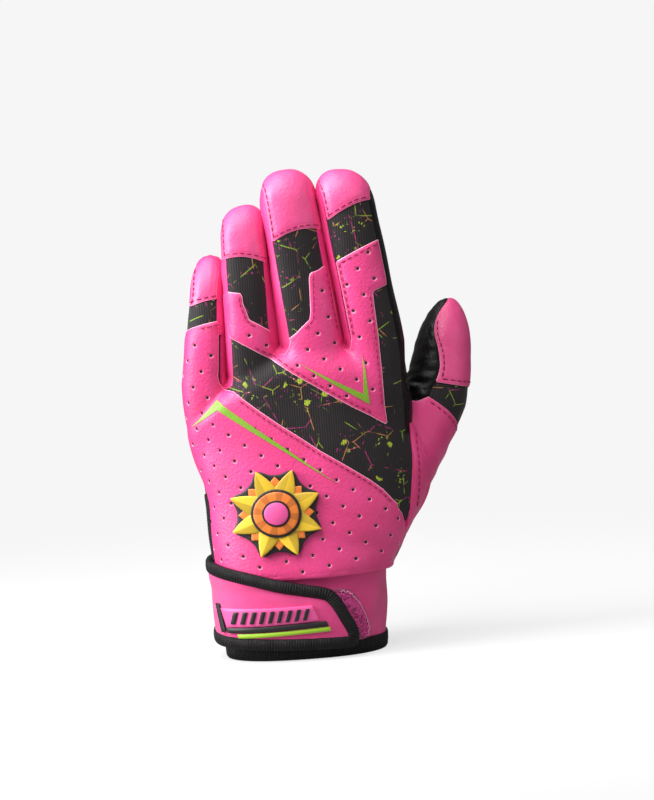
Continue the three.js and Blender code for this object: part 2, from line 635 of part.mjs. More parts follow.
// Strap
function strapOutline(inset) {
  const shape = new THREE.Shape();
  const run = (x, endX) => (x - strapWristX) / (endX - strapWristX);
  const foot = (x) => strapFootUlnar + (strapFootThumb - strapFootUlnar) * run(x, strapTipX) + inset;
  const top = (x) => strapTopUlnar + (strapTopThumb - strapTopUlnar) * run(x, strapShoulderX) - inset;
  const tip = strapTipX - inset;
  const shoulder = strapShoulderX - inset * 0.7;
  shape.moveTo(-far / 4, foot(strapWristX));
  shape.lineTo(strapWristX, foot(strapWristX));
  shape.lineTo(tip - 5, foot(tip));
  shape.quadraticCurveTo(tip + 0.5, foot(tip), tip - 0.5, strapTipZ + inset);
  shape.lineTo(shoulder + 4.5, top(shoulder) - 5);
  shape.quadraticCurveTo(shoulder + 2, top(shoulder), shoulder - 4, top(shoulder - 4));
  shape.lineTo(strapWristX, top(strapWristX));
  shape.lineTo(-far / 4, top(strapWristX));
  return shape.getPoints(5).map((p) => [p.x, p.y]);
}
// The strap's run round the wrist: the whole back, and the palm side only as far as its root
function strapRun(outline, rootX) {
  return prism(outline).subtract(prism([[rootX, -far], [far, -far], [far, far], [rootX, far]], 0, far));
}
const strapUnder = hand(strapLift);
const strapTop = hand(strapLift + strapThick);
const strapField = strapTop.subtract(strapUnder);
const strapFace = strapRun(strapOutline(strapBinding + seamGap), strapRootX);
add('strap_body', strapField.intersect(strapFace), neoprene);
add('strap_binding', hand(strapLift + strapThick + strapBindingProud).subtract(strapUnder)
  .intersect(strapRun(strapOutline(0), strapRootX)).subtract(prism(strapOutline(strapBinding))), ribbon);
const [anchorFrom, anchorTo] = [strapRootX + seamGap, strapRootX + strapAnchor];
const anchorSpan = prism([[anchorFrom, -far], [anchorTo, -far], [anchorTo, far], [anchorFrom, far]], 0, far);
add('strap_anchor', strapField.intersect(prism(strapOutline(2))).intersect(anchorSpan), ribbon);

// Hook and loop under the strap's end, and the moulded plate on it
const hookOutline = strapOutline(strapBinding + 1);
const hookSpan = prism([[-6, -far], [far, -far], [far, far], [-6, far]], -far, 0);
add('strap_hook_patch', hand(strapLift - seamGap).subtract(hand(strapLift - seamGap - hookWall))
  .intersect(prism(hookOutline)).intersect(hookSpan), fleece);
const loopOutline = [
  [-8, 8.4], [loopReachX - 2, 8.4], [loopReachX, 11], [loopReachX - 4, 20], [loopReachX - 9, 29.5],
  [-8, 29.5],
];
const loopFace = -cuffInset + fit;
add('cuff_loop_patch', hand(loopFace + loopWall).subtract(hand(loopFace))
  .intersect(prism(loopOutline, -far, 0)), fleece);
const plateFace = strapLift + strapThick + fit;
const plateField = prism(strapOutline(strapBinding + 2 * seamGap));
const plateLayer = (height) => hand(plateFace + height).subtract(hand(plateFace)).intersect(plateField);
const backOnly = (outline) => prism(outline, -far, 0);
const plateOutline = [[-36, 24.6], [3.6, 24.9], [6.4, 18], [-34, 16.2]];
const darkRailOutline = [[-34.4, 15.8], [9.6, 17.6], [10.4, 15.4], [-33.6, 13.6]];
const limeRailOutline = [[-30, 13.2], [11, 15], [11.6, 13], [-29.4, 11.4]];
add('strap_plate', plateLayer(plateWall).intersect(backOnly(plateOutline)), rubberPink);
add('strap_dark_rail', plateLayer(railWall).intersect(backOnly(darkRailOutline)), rubberBlack);
add('strap_lime_rail', plateLayer(railWall).intersect(backOnly(limeRailOutline)), rubberLime);

// Badge: a sunburst in raised layers that follows the back of the hand
function burst(outer, inner, points) {
  const outline = [];
  for (let i = 0; i < 2 * points; i++) {
    const angle = (Math.PI * i) / points + 0.2;
    const radius = i % 2 ? inner : outer;
    outline.push([badge.x + radius * Math.cos(angle), badge.z + radius * Math.sin(angle)]);
  }
  return outline;
}
const disc = (radius) => burst(radius, radius, 14);
const badgeLayer = (from, to) => hand(to).subtract(hand(from));
const baseTop = fit + badge.base;
const rayTop = baseTop + fit + badge.layer;
add('badge_base', badgeLayer(fit, baseTop).intersect(backOnly(disc(badge.radius))), rubberBlack);
const rays = backOnly(burst(badge.rayOuter, badge.rayInner, badge.points));
add('badge_rays', badgeLayer(baseTop + fit, rayTop).intersect(rays)
  .subtract(prism(disc(badge.disc + seamGap))), rubberYellow);
add('badge_disc', badgeLayer(baseTop + fit, rayTop + badge.layer * 0.5)
  .intersect(backOnly(disc(badge.disc))).subtract(prism(disc(badge.core + seamGap))), rubberOrange);
add('badge_core', badgeLayer(baseTop + fit, rayTop + badge.layer)
  .intersect(backOnly(disc(badge.core))), rubberPink);

// The finished glove stands with the middle of its footprint at the origin
const bounds = new THREE.Box3().setFromObject(glove);
const centre = bounds.getCenter(new THREE.Vector3());
for (const mesh of glove.children) mesh.geometry.translate(-centre.x, -centre.y, -bounds.min.z);

export default glove;
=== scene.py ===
import bpy
import numpy as np
from mathutils import Matrix, Vector


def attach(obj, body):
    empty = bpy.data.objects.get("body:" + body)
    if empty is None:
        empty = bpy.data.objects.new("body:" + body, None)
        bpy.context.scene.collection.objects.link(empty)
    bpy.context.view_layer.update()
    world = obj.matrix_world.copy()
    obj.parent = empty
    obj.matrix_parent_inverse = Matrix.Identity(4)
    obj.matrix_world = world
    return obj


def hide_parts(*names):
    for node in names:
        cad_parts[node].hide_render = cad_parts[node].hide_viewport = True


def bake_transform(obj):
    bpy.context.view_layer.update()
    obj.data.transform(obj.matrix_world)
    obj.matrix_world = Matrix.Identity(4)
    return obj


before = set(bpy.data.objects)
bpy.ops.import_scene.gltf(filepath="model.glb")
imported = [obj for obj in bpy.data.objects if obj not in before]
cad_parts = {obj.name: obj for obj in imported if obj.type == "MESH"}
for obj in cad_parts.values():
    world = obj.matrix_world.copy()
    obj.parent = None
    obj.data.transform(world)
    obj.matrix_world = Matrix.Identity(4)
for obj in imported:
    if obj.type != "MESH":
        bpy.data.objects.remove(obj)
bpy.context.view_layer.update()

# sizes are millimetres in the drawing frame of the solids; toFrame moves them to the shared frame
origin = np.array([16.9471, 0.5446, 0.0])
handForm = {
    "heights": [0, 20, 36, 46, 64, 84, 104, 120, 137],
    "ulnar": [-37.4, -38.1, -38.1, -38.4, -39.3, -39.8, -40.9, -42, -42],
    "thumb": [36.6, 38.3, 39.6, 43.8, 51.6, 53.8, 53, 53, 51.5],
    "back": [-26.5, -27.5, -27, -25.5, -23, -20.5, -18, -16.5, -15.5],
    "palm": [25.5, 26.5, 26, 25, 23, 20, 16, 13.5, 12],
    "square": 2.4, "top": 137, "arch": 15, "archMid": 12, "archReach": 41, "round": 15, "levelTo": 60, "mid": -.8,
}
fingerForms = {
    "index": {"root": (39.5, 134.5), "under": 30, "lean": 7.5, "length": 78, "wide": (12.5, 12.2), "deep": 10.5,
              "dome": 15, "mid": -3, "bend": 3, "tilt": 0, "seams": (.76, .82), "tip": 60.5, "band": 43,
              "slant": .3, "bow": 2.2, "skew": .24},
    "middle": {"root": (12.5, 137), "under": 30, "lean": 6, "length": 77, "wide": (12.5, 11.8), "deep": 10.5,
               "dome": 13.5, "mid": -3.5, "bend": 4, "tilt": .08, "seams": (.81, .94), "tip": 48, "band": 33,
               "slant": .13, "bow": 3.4, "skew": .03},
    "ring": {"root": (-15.4, 136), "under": 30, "lean": 0, "length": 63.2, "wide": (10.2, 9.6), "deep": 9.8,
             "dome": 13, "mid": -2.5, "bend": 6, "tilt": .06, "seams": (.92, .94), "tip": 39.5, "band": 26,
             "slant": -.16, "bow": 2.6, "skew": -.15},
    "little": {"root": (-37.3, 122), "under": 34, "lean": -6, "length": 56, "wide": (9.1, 6.8), "deep": 8.6,
               "dome": 15, "mid": 1, "bend": 7, "tilt": -.12, "seams": (.96, .66), "tip": 36.5, "band": 27.5,
               "slant": .3, "bow": 1.4, "skew": -.22},
}
thumbForm = {
    "path": [(37, 2, 50), (49.7, 9, 78), (64.7, 17, 108), (70, 22, 130), (74.2, 24, 150.3)],
    "shares": (0, .14, .3, .6, 1), "deep": (6, 9.0, 12.4, 14.4, 8.8), "wide": (9, 12, 13.7, 12.4, 10),
    "dome": 20, "square": 2.1, "under": 9, "radius": 12, "web": 5, "flex": (59.0, 73.0),
}
skinForm = {"fillet": 3.0, "web": 7.0, "ripple": .28, "square": 2.5}
rayForm = {"reach": 45, "tip": 30, "strip": 16, "stripSteps": 33, "root": 40, "rootSteps": 41, "halvings": 22}
turnNudge, runNudge = .02, .4  # steps over which the slopes of thumb and wrist are taken


def toFrame(points):
    # metres in the shared frame: drawing millimetres less the origin, over a thousand
    return (np.asarray(points, float) - origin) / 1000


def signedPower(value, power):
    # the power of the size with the sign kept
    return np.sign(value) * np.abs(value) ** power


def easeStep(low, high, value):
    # three squares less two cubes of the share between low and high
    share = np.clip((value - low) / (high - low), 0, 1)
    return share * share * (3 - 2 * share)


def unit(vectors, guard=1e-9):
    # vectors over their own lengths, with a guard where a length may be nought
    return vectors / (np.linalg.norm(vectors, axis=-1, keepdims=True) + guard)


def chordReach(points):
    # length walked at each point: running sum of the chords, from nought
    return np.concatenate([[0], np.cumsum(np.linalg.norm(np.diff(points, axis=0), axis=1))])


def throughStations(at, stations, values):
    # cubic pieces through the stations, each slope the rise between its two neighbours
    stations, values = np.asarray(stations, float), np.asarray(values, float)
    after = np.minimum(np.arange(len(stations)) + 1, len(stations) - 1)
    before = np.maximum(np.arange(len(stations)) - 1, 0)
    slopes = (values[after] - values[before]) / (stations[after] - stations[before])
    piece = np.clip(np.searchsorted(stations, at) - 1, 0, len(stations) - 2)
    run = stations[piece + 1] - stations[piece]
    t = np.clip((at - stations[piece]) / run, 0, 1)
    start, end = values[piece], values[piece + 1]
    return ((2 * t ** 3 - 3 * t ** 2 + 1) * start + (t ** 3 - 2 * t ** 2 + t) * run * slopes[piece]
            + (3 * t ** 2 - 2 * t ** 3) * end + (t ** 3 - t ** 2) * run * slopes[piece + 1])


def curveThrough(points, count):
    # smooth line through points, walked by the length of its chords
    points = np.asarray(points, float)
    reach = chordReach(points)
    at = np.linspace(0, reach[-1], count)
    return np.stack([throughStations(at, reach, points[:, k]) for k in range(points.shape[1])], -1)


def evenly(line, step):
    # the same line with points at an even step of its length
    reach = chordReach(line)
    at = np.linspace(0, reach[-1], max(2, int(round(reach[-1] / step)) + 1))
    return np.stack([np.interp(at, reach, line[:, k]) for k in range(line.shape[1])], -1)


def shifted(line, inset):
    # line moved sideways to its left by the inset
    run = unit(np.gradient(line, axis=0))
    return line + inset * np.stack([-run[:, 1], run[:, 0]], -1)


def superellipse(power, deep, *terms):
    # root of the summed powers of the terms, less one, times a depth: a rough distance
    return (sum(np.abs(term) ** power for term in terms) ** (1 / power) - 1) * deep


def handSides(level):
    # ulnar, thumb, back and palm edges of the hand at a level, through their stations
    return [throughStations(level, handForm["heights"], handForm[key]) for key in ("ulnar", "thumb", "back", "palm")]


def handField(p):
    # superellipse of the hand at the point's level, rounded off over the knuckles
    x, y, z = p[..., 0], p[..., 1], p[..., 2]
    low = handForm["levelTo"]
    top = handForm["top"] - handForm["arch"] * ((x - handForm["archMid"]) / handForm["archReach"]) ** 2
    level = np.where(z > low, low + (z - low) * (handForm["top"] - low) / np.maximum(top - low, 9), z)
    ulnar, thumb, back, palm = handSides(level)
    rise = np.maximum(0, (level - handForm["top"] + handForm["round"]) / handForm["round"])
    return superellipse(handForm["square"], (palm - back) / 2, (2 * x - thumb - ulnar) / (thumb - ulnar),
                        (2 * y - back - palm) / (palm - back), rise)


def leanOf(name):
    # cosine and sine of a finger's lean
    lean = np.radians(fingerForms[name]["lean"])
    return np.cos(lean), np.sin(lean)


def fingerLocal(name, x, z):
    # across and along a finger: turned by its lean above the root and sheared below it
    (rootX, rootZ), (cos, sin) = fingerForms[name]["root"], leanOf(name)
    dx, dz = x - rootX, z - rootZ
    up = dz * cos - dx * sin
    across = np.where(up > 0, dx * cos + dz * sin, dx / cos)
    return across, np.where(up > 0, up, dz - across * sin)


def fingerPlane(name, across, along):
    # x and z of a place on a finger, the lean taking hold above the root
    (rootX, rootZ), (cos, sin) = fingerForms[name]["root"], leanOf(name)
    up = np.maximum(0, along)
    return np.stack(np.broadcast_arrays(rootX + across * cos - up * sin,
                                        rootZ + across * sin + up * cos + along - up), -1)


def fingerHalf(name, along):
    # half width, straight from the root's to the tip's
    form = fingerForms[name]
    return form["wide"][0] + (form["wide"][1] - form["wide"][0]) * np.clip(along / form["length"], 0, 1)


def fingerMid(name, across, along):
    # depth of the finger's middle, tilted across and bent towards the palm with the square of the rise
    form = fingerForms[name]
    return form["mid"] + form["tilt"] * across + form["bend"] * (np.maximum(0, along) / form["length"]) ** 2


def fingerField(name, p):
    # superellipsoid stalk of a finger, with a skewed dome at the tip and fading out below its root
    form, (across, along) = fingerForms[name], fingerLocal(name, p[..., 0], p[..., 2])
    rise = np.maximum(0, (along + form["skew"] * across - form["length"] + form["dome"]) / form["dome"])
    fall = np.maximum(0, -along / form["under"])
    return superellipse(skinForm["square"], form["deep"], across / fingerHalf(name, along),
                        (p[..., 1] - fingerMid(name, across, along)) / form["deep"], rise, fall)


def fused(a, b, fillet):
    # lower of two fields with a fillet where they are near to each other
    near = np.maximum(fillet - np.abs(a - b), 0) / fillet
    return np.minimum(a, b) - near * near * fillet / 4


def skinField(p, names=tuple(fingerForms)):
    # hand and the named fingers as one skin, with a faint ripple of worn leather
    fingers = np.minimum.reduce([fingerField(name, p) for name in names])
    ripple = np.sin(p[..., 0] / 7.3 + p[..., 2] / 11) * np.sin(p[..., 2] / 8.7 - p[..., 0] / 15 + 1.3)
    return fused(handField(p), fingers, skinForm["fillet"]) - skinForm["ripple"] * ripple


thumbAxis = np.asarray(thumbForm["path"], float)
thumbShares = chordReach(thumbAxis)
thumbLength, thumbShares = thumbShares[-1], thumbShares / thumbShares[-1]


def thumbFrame(share):
    # middle of the thumb, its back, its across and its run at a share of the length
    def middle(at):
        return np.stack([throughStations(at, thumbShares, thumbAxis[:, k]) for k in range(3)], -1)

    share = np.clip(share, 0, 1)
    run = unit(middle(np.minimum(share + .01, 1)) - middle(np.maximum(share - .01, 0)), 0)
    back = unit(np.array([1.0, 0, 0]) - run * run[..., :1], 0)
    return middle(share), back, np.cross(run, back), run


def thumbHalf(key, share):
    # half depth or half width of the thumb, straight between its stations
    return np.interp(share, thumbForm["shares"], thumbForm[key])


def thumbPoint(angle, along):
    # superellipse about the thumb's axis, shrunk to a point over the dome
    share = along / thumbLength
    middle, back, across = thumbFrame(share)[:3]
    rise = np.clip((along - thumbLength + thumbForm["dome"]) / thumbForm["dome"], 0, 1)
    shrink, power = np.sqrt(np.maximum(0, 1 - rise ** 2)), 2 / thumbForm["square"]
    deep = thumbHalf("deep", share) * shrink * signedPower(np.cos(angle), power)
    wide = thumbHalf("wide", share) * shrink * signedPower(np.sin(angle), power)
    return middle + back * deep[..., None] + across * wide[..., None]


thumbSamples = np.linspace(0, 1, 70)
thumbMiddle, thumbBack, thumbAcross, thumbRun = thumbFrame(thumbSamples)


def thumbField(p):
    # superellipse about the nearest place on the thumb's axis
    flat, dome = p.reshape(-1, 3), thumbForm["dome"]
    near = ((flat[:, None, :] - thumbMiddle[None]) ** 2).sum(-1).argmin(1)
    offset, share = flat - thumbMiddle[near], thumbSamples[near]
    out, side, run = ((offset * axis[near]).sum(1) for axis in (thumbBack, thumbAcross, thumbRun))
    deep = thumbHalf("deep", share)
    rise = np.maximum(0, (share * thumbLength - thumbLength + dome) / dome)
    fall = np.maximum(0, -run / thumbForm["under"]) * (near == 0)
    field = superellipse(thumbForm["square"], deep, out / deep, side / thumbHalf("wide", share), rise, fall)
    return field.reshape(p.shape[:-1])


def gloveField(p):
    # skin with the thumb webbed onto it
    return fused(skinField(p), thumbField(p), skinForm["web"])


def dropOn(field, start, ray, reach, steps=0):
    # first place along each ray where the field turns positive: coarse steps, then halving
    near, far = np.zeros(start.shape[:-1]), np.full(start.shape[:-1], float(reach))
    if steps:
        found = np.zeros(near.shape, bool)
        for step in np.linspace(0, reach, steps)[1:]:
            outside = field(start + step * ray) > 0
            far = np.where(outside & ~found, step, far)
            found |= outside
            near = np.where(found, near, step)
    for _ in range(rayForm["halvings"]):
        half = (near + far) / 2
        inside = field(start + half[..., None] * ray) < 0
        near, far = np.where(inside, half, near), np.where(inside, far, half)
    return start + near[..., None] * ray


def fieldNormal(field, p, step=.7):
    # direction in which the field grows fastest, from differences over a small step
    return unit(np.stack([field(p + move) - field(p - move) for move in np.eye(3) * step], -1))


def landed(field, start, ray, reach):
    # where the rays land on a field, and its normals there
    p = dropOn(field, start, ray, reach)
    return p, fieldNormal(field, p)


def middleY(x, z):
    # depth of the most deeply inside place among the middles of the hand and of the fingers
    tries = np.stack([np.full_like(x, handForm["mid"])]
                     + [fingerMid(name, *fingerLocal(name, x, z)) for name in fingerForms])
    depth = np.stack([skinField(np.stack([x, y, z], -1)) for y in tries])
    return np.take_along_axis(tries, depth.argmin(0)[None], 0)[0]


def facing(side, field=skinField):
    # surface seen along the depth axis: rays from the middle to the back (-1) or to the palm (+1)
    def surface(u, v):
        start = np.stack([u, middleY(u, v), v], -1)
        return landed(field, start, np.broadcast_to([0, side, 0], start.shape), rayForm["reach"])
    return surface


wrapForm = {
    "heights": [30, 60, 90, 106, 122, 150, 180], "ulnarCore": [-24, -26, -29.5, -33.5, -37, -34.2, -31],
    "ulnarTurn": [19, 18, 16, 14, 10.5, 9, 8], "mid": [-.5, -.6, -1, -.6, .6, 2.75, 8],
    "thumbHeights": [0, 36, 46, 56, 64, 72], "thumbCore": [22, 25.6, 29.8, 34, 40, 90], "thumbTurn": 19,
    "tries": np.linspace(0, 1.5, 60),
}


def fanAt(key, z):
    # a value of the fan at a height, through its stations
    return throughStations(z, wrapForm["thumbHeights" if key == "thumbCore" else "heights"], wrapForm[key])


def wrapped(side, field=skinField):
    # rays towards the back or palm that fan out round the ulnar edge and round the wrist's thumb edge
    def surface(u, v):
        low, high = fanAt("ulnarCore", v), fanAt("thumbCore", v)
        angle = np.where(u < low, (u - low) / fanAt("ulnarTurn", v),
                         np.where(u > high, (u - high) / wrapForm["thumbTurn"], 0))
        x = np.where(angle < 0, low, np.where(angle > 0, high, u))
        depth = np.where(angle == 0, middleY(x, v), fanAt("mid", v))
        ray = np.stack([np.sin(angle), side * np.cos(angle), 0 * u], -1)
        return landed(field, np.stack([x, depth, v], -1), ray, rayForm["reach"])
    return surface


def wrapU(x, z):
    # unrolled coordinate of places seen at x on the back: x itself, or past the cores the turn whose ray lands there
    beyond = (x < fanAt("ulnarCore", z)) | (x > fanAt("thumbCore", z))
    unrolled, x, z = x.copy(), x[beyond][:, None], z[beyond][:, None]
    low, high = fanAt("ulnarCore", z), fanAt("thumbCore", z)
    turn = wrapForm["tries"] * np.where(x < low, -fanAt("ulnarTurn", z), wrapForm["thumbTurn"])
    u = np.where(x < low, low, high) + turn
    seen = wrapped(-1)(u, np.broadcast_to(z, u.shape))[0][..., 0]
    reach = np.maximum.accumulate(np.abs(seen), 1)
    after = np.clip((reach <= np.abs(x)).sum(1, keepdims=True), 1, u.shape[1] - 1)
    (near, far), (start, end) = ([np.take_along_axis(row, after - k, 1) for k in (1, 0)] for row in (reach, u))
    share = np.clip((np.abs(x) - near) / np.maximum(far - near, 1e-9), 0, 1)
    unrolled[beyond] = (start + (end - start) * share)[:, 0]
    return unrolled


def thumbSurface(u, v):
    # thumb tube: u over a radius is the angle from its back, v the length along its axis
    angle = u / thumbForm["radius"]
    turnStep = thumbPoint(angle + turnNudge, v) - thumbPoint(angle - turnNudge, v)
    runStep = thumbPoint(angle, np.minimum(v + runNudge, thumbLength - .01)) - thumbPoint(angle, v - runNudge)
    return thumbPoint(angle, v), unit(np.cross(turnStep, runStep))


def wristPoint(angle, z, lift):
    # superellipse of the wrist at a height, grown by the lift
    ulnar, thumb, back, palm = handSides(z)
    power = 2 / handForm["square"]
    return np.stack([(thumb + ulnar) / 2 + ((thumb - ulnar) / 2 + lift) * signedPower(np.cos(angle), power),
                     (back + palm) / 2 + ((palm - back) / 2 + lift) * signedPower(np.sin(angle), power),
                     z + 0 * angle], -1)


# length round the wrist at one height, from the middle of the back; thumb side counts up
wristForm = {"height": 24.0, "lift": 2.0, "count": 1601, "half": 1.2 * np.pi, "radius": 38,
             "back": slice(420, 1180), "middle": slice(600, 1000)}
wristAngles = np.linspace(-.5 * np.pi - wristForm["half"], -.5 * np.pi + wristForm["half"], wristForm["count"])
wristTrack = wristPoint(wristAngles, np.full(wristForm["count"], wristForm["height"]), wristForm["lift"])
wristReach = chordReach(wristTrack)
wristReach -= np.interp(0, wristTrack[wristForm["middle"], 0], wristReach[wristForm["middle"]])


def wristSurface(u, v):
    # wrist skin by length round it and height
    angle = np.interp(u, wristReach, wristAngles)
    step = wristPoint(angle + turnNudge, v, 0.0) - wristPoint(angle - turnNudge, v, 0.0)
    return wristPoint(angle, v, 0.0), unit(np.stack([step[..., 1], -step[..., 0], 0 * v], -1))


def wristU(x):
    # length round the wrist of a place seen at x on the back
    return np.interp(x, wristTrack[wristForm["back"], 0], wristReach[wristForm["back"]])


print("stage: forms ready")


def edgeDistance(u, v, outline):
    # distance inside an outline (negative outside) and the nearest place on it, edge by edge
    best, nearest, odd = np.full(u.shape, 1e9), np.zeros(u.shape + (2,)), np.zeros(u.shape, bool)
    for (ax, ay), (bx, by) in zip(outline, np.roll(outline, -1, 0)):
        dx, dy = bx - ax, by - ay
        t = np.clip(((u - ax) * dx + (v - ay) * dy) / (dx * dx + dy * dy + 1e-12), 0, 1)
        gap = (u - ax - t * dx) ** 2 + (v - ay - t * dy) ** 2
        closer = gap < best
        best = np.where(closer, gap, best)
        nearest[closer] = np.stack([ax + t * dx, ay + t * dy], -1)[closer]
        if abs(dy) > 1e-9:
            odd ^= ((ay > v) != (by > v)) & (u < ax + (v - ay) * dx / dy)
    return np.where(odd, 1, -1) * np.sqrt(best), nearest


def evenLines(low, high, step):
    # grid lines a step apart
    return np.linspace(low, high, max(3, int(np.ceil((high - low) / step)) + 1))


poreForm = {"turn": -35.7, "pitch": 8.35, "radius": 1.02, "deep": .85, "margin": 2.7,
            "rings": np.array([.36, .69, .92, 1.15]), "between": 8}


def poreLines(low, high, pitch, start):
    # grid lines that gather about every row of holes
    rings = poreForm["rings"]
    far = np.linspace(rings[-1], pitch - rings[-1], poreForm["between"])[1:-1]
    rows = start + pitch * np.arange(np.floor((low - start) / pitch) - 1, np.ceil((high - start) / pitch) + 2)
    lines = np.sort((rows[:, None] + np.concatenate([-rings[::-1], [0], rings, far])).ravel())
    return lines[(lines > low - 1) & (lines < high + 1)]


def quads(index):
    # corners of the cells between neighbouring rows and columns of a grid of point numbers
    return np.stack([index[:-1, :-1], index[1:, :-1], index[1:, 1:], index[:-1, 1:]], -1)


def cutGrid(outline, uLines, vLines):
    # cells of a grid whose middle is inside an outline, their outer corners drawn onto it
    u, v = (axis.ravel() for axis in np.meshgrid(uLines, vLines, indexing="ij"))
    inside, nearest = edgeDistance(u, v, outline)
    shape = (len(uLines), len(vLines))
    depth, index = inside.reshape(shape), np.arange(u.size).reshape(shape)
    kept = depth[1:, 1:] + depth[:-1, 1:] + depth[1:, :-1] + depth[:-1, :-1] > 0
    cells = quads(index)[kept]
    uses = np.bincount(cells.ravel(), minlength=u.size)
    rim = (uses > 0) & (uses < 4)
    points = np.stack([u, v], -1)
    points[rim] = nearest[rim]
    used = np.flatnonzero(uses)
    number = np.zeros(u.size, int)
    number[used] = np.arange(used.size)
    return points[used], number[cells], np.where(rim, 0, np.maximum(inside, .03))[used]


def gridCells(rows, columns, closeRows=False, closeColumns=False):
    # four-cornered cells of a grid, joined end to end where asked
    index = np.arange(rows * columns).reshape(rows, columns)
    index = np.concatenate([index, index[:1]]) if closeRows else index
    index = np.concatenate([index, index[:, :1]], 1) if closeColumns else index
    return quads(index).reshape(-1, 4)


def addMesh(name, points, faces, finish, uv=None, values=None, sharp=48):
    # one object of points and faces, smooth but for sharp edges, with its own map and named values
    mesh = bpy.data.meshes.new(name)
    mesh.from_pydata(toFrame(points).tolist(), [], faces if isinstance(faces, list) else faces.tolist())
    if uv is not None:
        corners = np.empty(len(mesh.loops), np.int32)
        mesh.loops.foreach_get("vertex_index", corners)
        mesh.uv_layers.new(name="UVMap").data.foreach_set("uv", np.asarray(uv, np.float32)[corners].ravel())
    for key, value in (values or {}).items():
        mesh.attributes.new(key, "FLOAT", "POINT").data.foreach_set("value", np.asarray(value, np.float32))
    mesh.polygons.foreach_set("use_smooth", np.ones(len(mesh.polygons), bool))
    mesh.set_sharp_from_angle(angle=np.radians(sharp))
    mesh.materials.append(finishes[finish])
    mesh.update()
    piece = bpy.data.objects.new(name, mesh)
    bpy.context.collection.objects.link(piece)
    return piece


def closedShell(outer, inner, cells):
    # outer and inner skins with a rim along the sides that only one cell has
    count = len(outer)
    sides = np.concatenate([cells[:, [k, (k + 1) % 4]] for k in range(4)])
    ordered = np.sort(sides, 1)
    first, uses = np.unique(ordered[:, 0] * count + ordered[:, 1], return_index=True, return_counts=True)[1:]
    rim = sides[first[uses == 1]]
    walls = np.stack([rim[:, 1], rim[:, 0], rim[:, 0] + count, rim[:, 1] + count], -1)
    return np.concatenate([outer, inner]), np.concatenate([cells, cells[:, ::-1] + count, walls])


def diagonalCross(points, cells):
    # cross product of each cell's diagonals: along its normal, with twice its area
    a, b, c, d = (points[cells[:, k]] for k in range(4))
    return np.cross(c - a, d - b)


def agrees(points, cells, directions):
    # whether the cells' own normals point along the directions, taken all together
    return (diagonalCross(points, cells) * directions).sum() > 0


def outward(points, normals, cells):
    # cells turned so that their own normals agree with the surface's
    return cells if agrees(points, cells, normals[cells[:, 0]]) else cells[:, ::-1]


def quadArea(points, cells):
    # half the cross products of the cells' diagonals, summed
    points = np.pad(points, ((0, 0), (0, 3 - points.shape[1])))
    return np.linalg.norm(diagonalCross(points, cells), axis=1).sum() / 2


def turned(points, degrees):
    # pattern turned about its origin
    cos, sin = np.cos(np.radians(degrees)), np.sin(np.radians(degrees))
    return points @ np.array([[cos, sin], [-sin, cos]])


def poreDepth(points, outline, pores):
    # bowl of each hole, one less the squared share of its radius, for holes well inside the outline
    local = turned(points, -pores["turn"]) - pores["start"]
    centre = turned(np.round(local / pores["pitch"]) * pores["pitch"] + pores["start"], pores["turn"])
    inside = edgeDistance(centre[:, 0], centre[:, 1], outline)[0]
    gap = np.linalg.norm(points - centre, axis=1)
    return np.where(inside > pores["margin"], np.clip(1 - (gap / pores["radius"]) ** 2, 0, 1), 0)


panelForm = {"step": .75, "lift": .9, "round": .45, "puff": .35, "groove": .18, "inset": 1.8, "thick": 1.3,
             "roundOver": .55, "puffOver": 5, "grooveHalf": .5}
uncut = 9.0  # value of the edge attribute that shows no pale cut


def panelHeight(edge, settings):
    # lift that rounds off at the edge, a slow swell inwards, and a groove under the stitching
    height = (settings["lift"] - settings["round"] * np.exp(-edge / settings["roundOver"])
              + settings["puff"] * (1 - np.exp(-edge / settings["puffOver"])))
    return height - settings["groove"] * np.exp(-((edge - settings["inset"]) / settings["grooveHalf"]) ** 2)


def sewnPanel(name, outline, surface, finish, **changes):
    # a cut piece laid on a surface: outer skin by the panel's height, inner skin a thickness below
    settings = {**panelForm, **changes}
    outline, pores = np.asarray(outline, float), settings.get("pores")
    turn = pores["turn"] if pores else 0
    local = turned(outline, -turn)
    (uLow, vLow), (uHigh, vHigh) = local.min(0), local.max(0)
    if pores:
        uLines = poreLines(uLow, uHigh, pores["pitch"], pores["start"][0])
        vLines = poreLines(vLow, vHigh, pores["pitch"], pores["start"][1])
    else:
        uLines, vLines = evenLines(uLow, uHigh, settings["step"]), evenLines(vLow, vHigh, settings["step"])
    points, cells, edge = cutGrid(local, uLines, vLines)
    points = turned(points, turn)
    skin, normals = surface(points[:, 0], points[:, 1])
    height = panelHeight(edge, settings)
    hidden = uncut * (points[:, 1] < settings.get("foldBelow", -99))
    values = {"edge": np.concatenate([edge + hidden, hidden])}
    if pores:
        # the hole's bowl: sunk into the geometry, and also the mask of the painted shade in the holes
        pore = poreDepth(points, outline, pores)
        height = height - pores["deep"] * pore
        values["pore"] = np.concatenate([pore, 0 * pore])
    if "relief" in settings:
        height = height + settings["relief"](*points.T)
    cells = outward(skin, normals, cells)
    outer = skin + normals * height[:, None]
    inner = skin + normals * (settings["lift"] - settings["thick"])
    shell, faces = closedShell(outer, inner, cells)
    piece = addMesh(name, shell, faces, finish, np.concatenate([points, points]), values)
    if "sewnTo" in settings:
        # cloth as cut: the pattern's box, grown by the root of skin area over pattern area
        curved = quadArea(outer, cells)
        width, length = np.ptp(points, 0) * np.sqrt(curved / quadArea(points, cells)) / 1000
    return piece


threadForm = {"pitch": 2.9, "long": 2.3, "wide": .29, "high": .22, "sides": 6,
              "shares": np.array([0, .16, .5, .84, 1.0]), "swell": np.array([.25, .85, 1, .85, .25])}


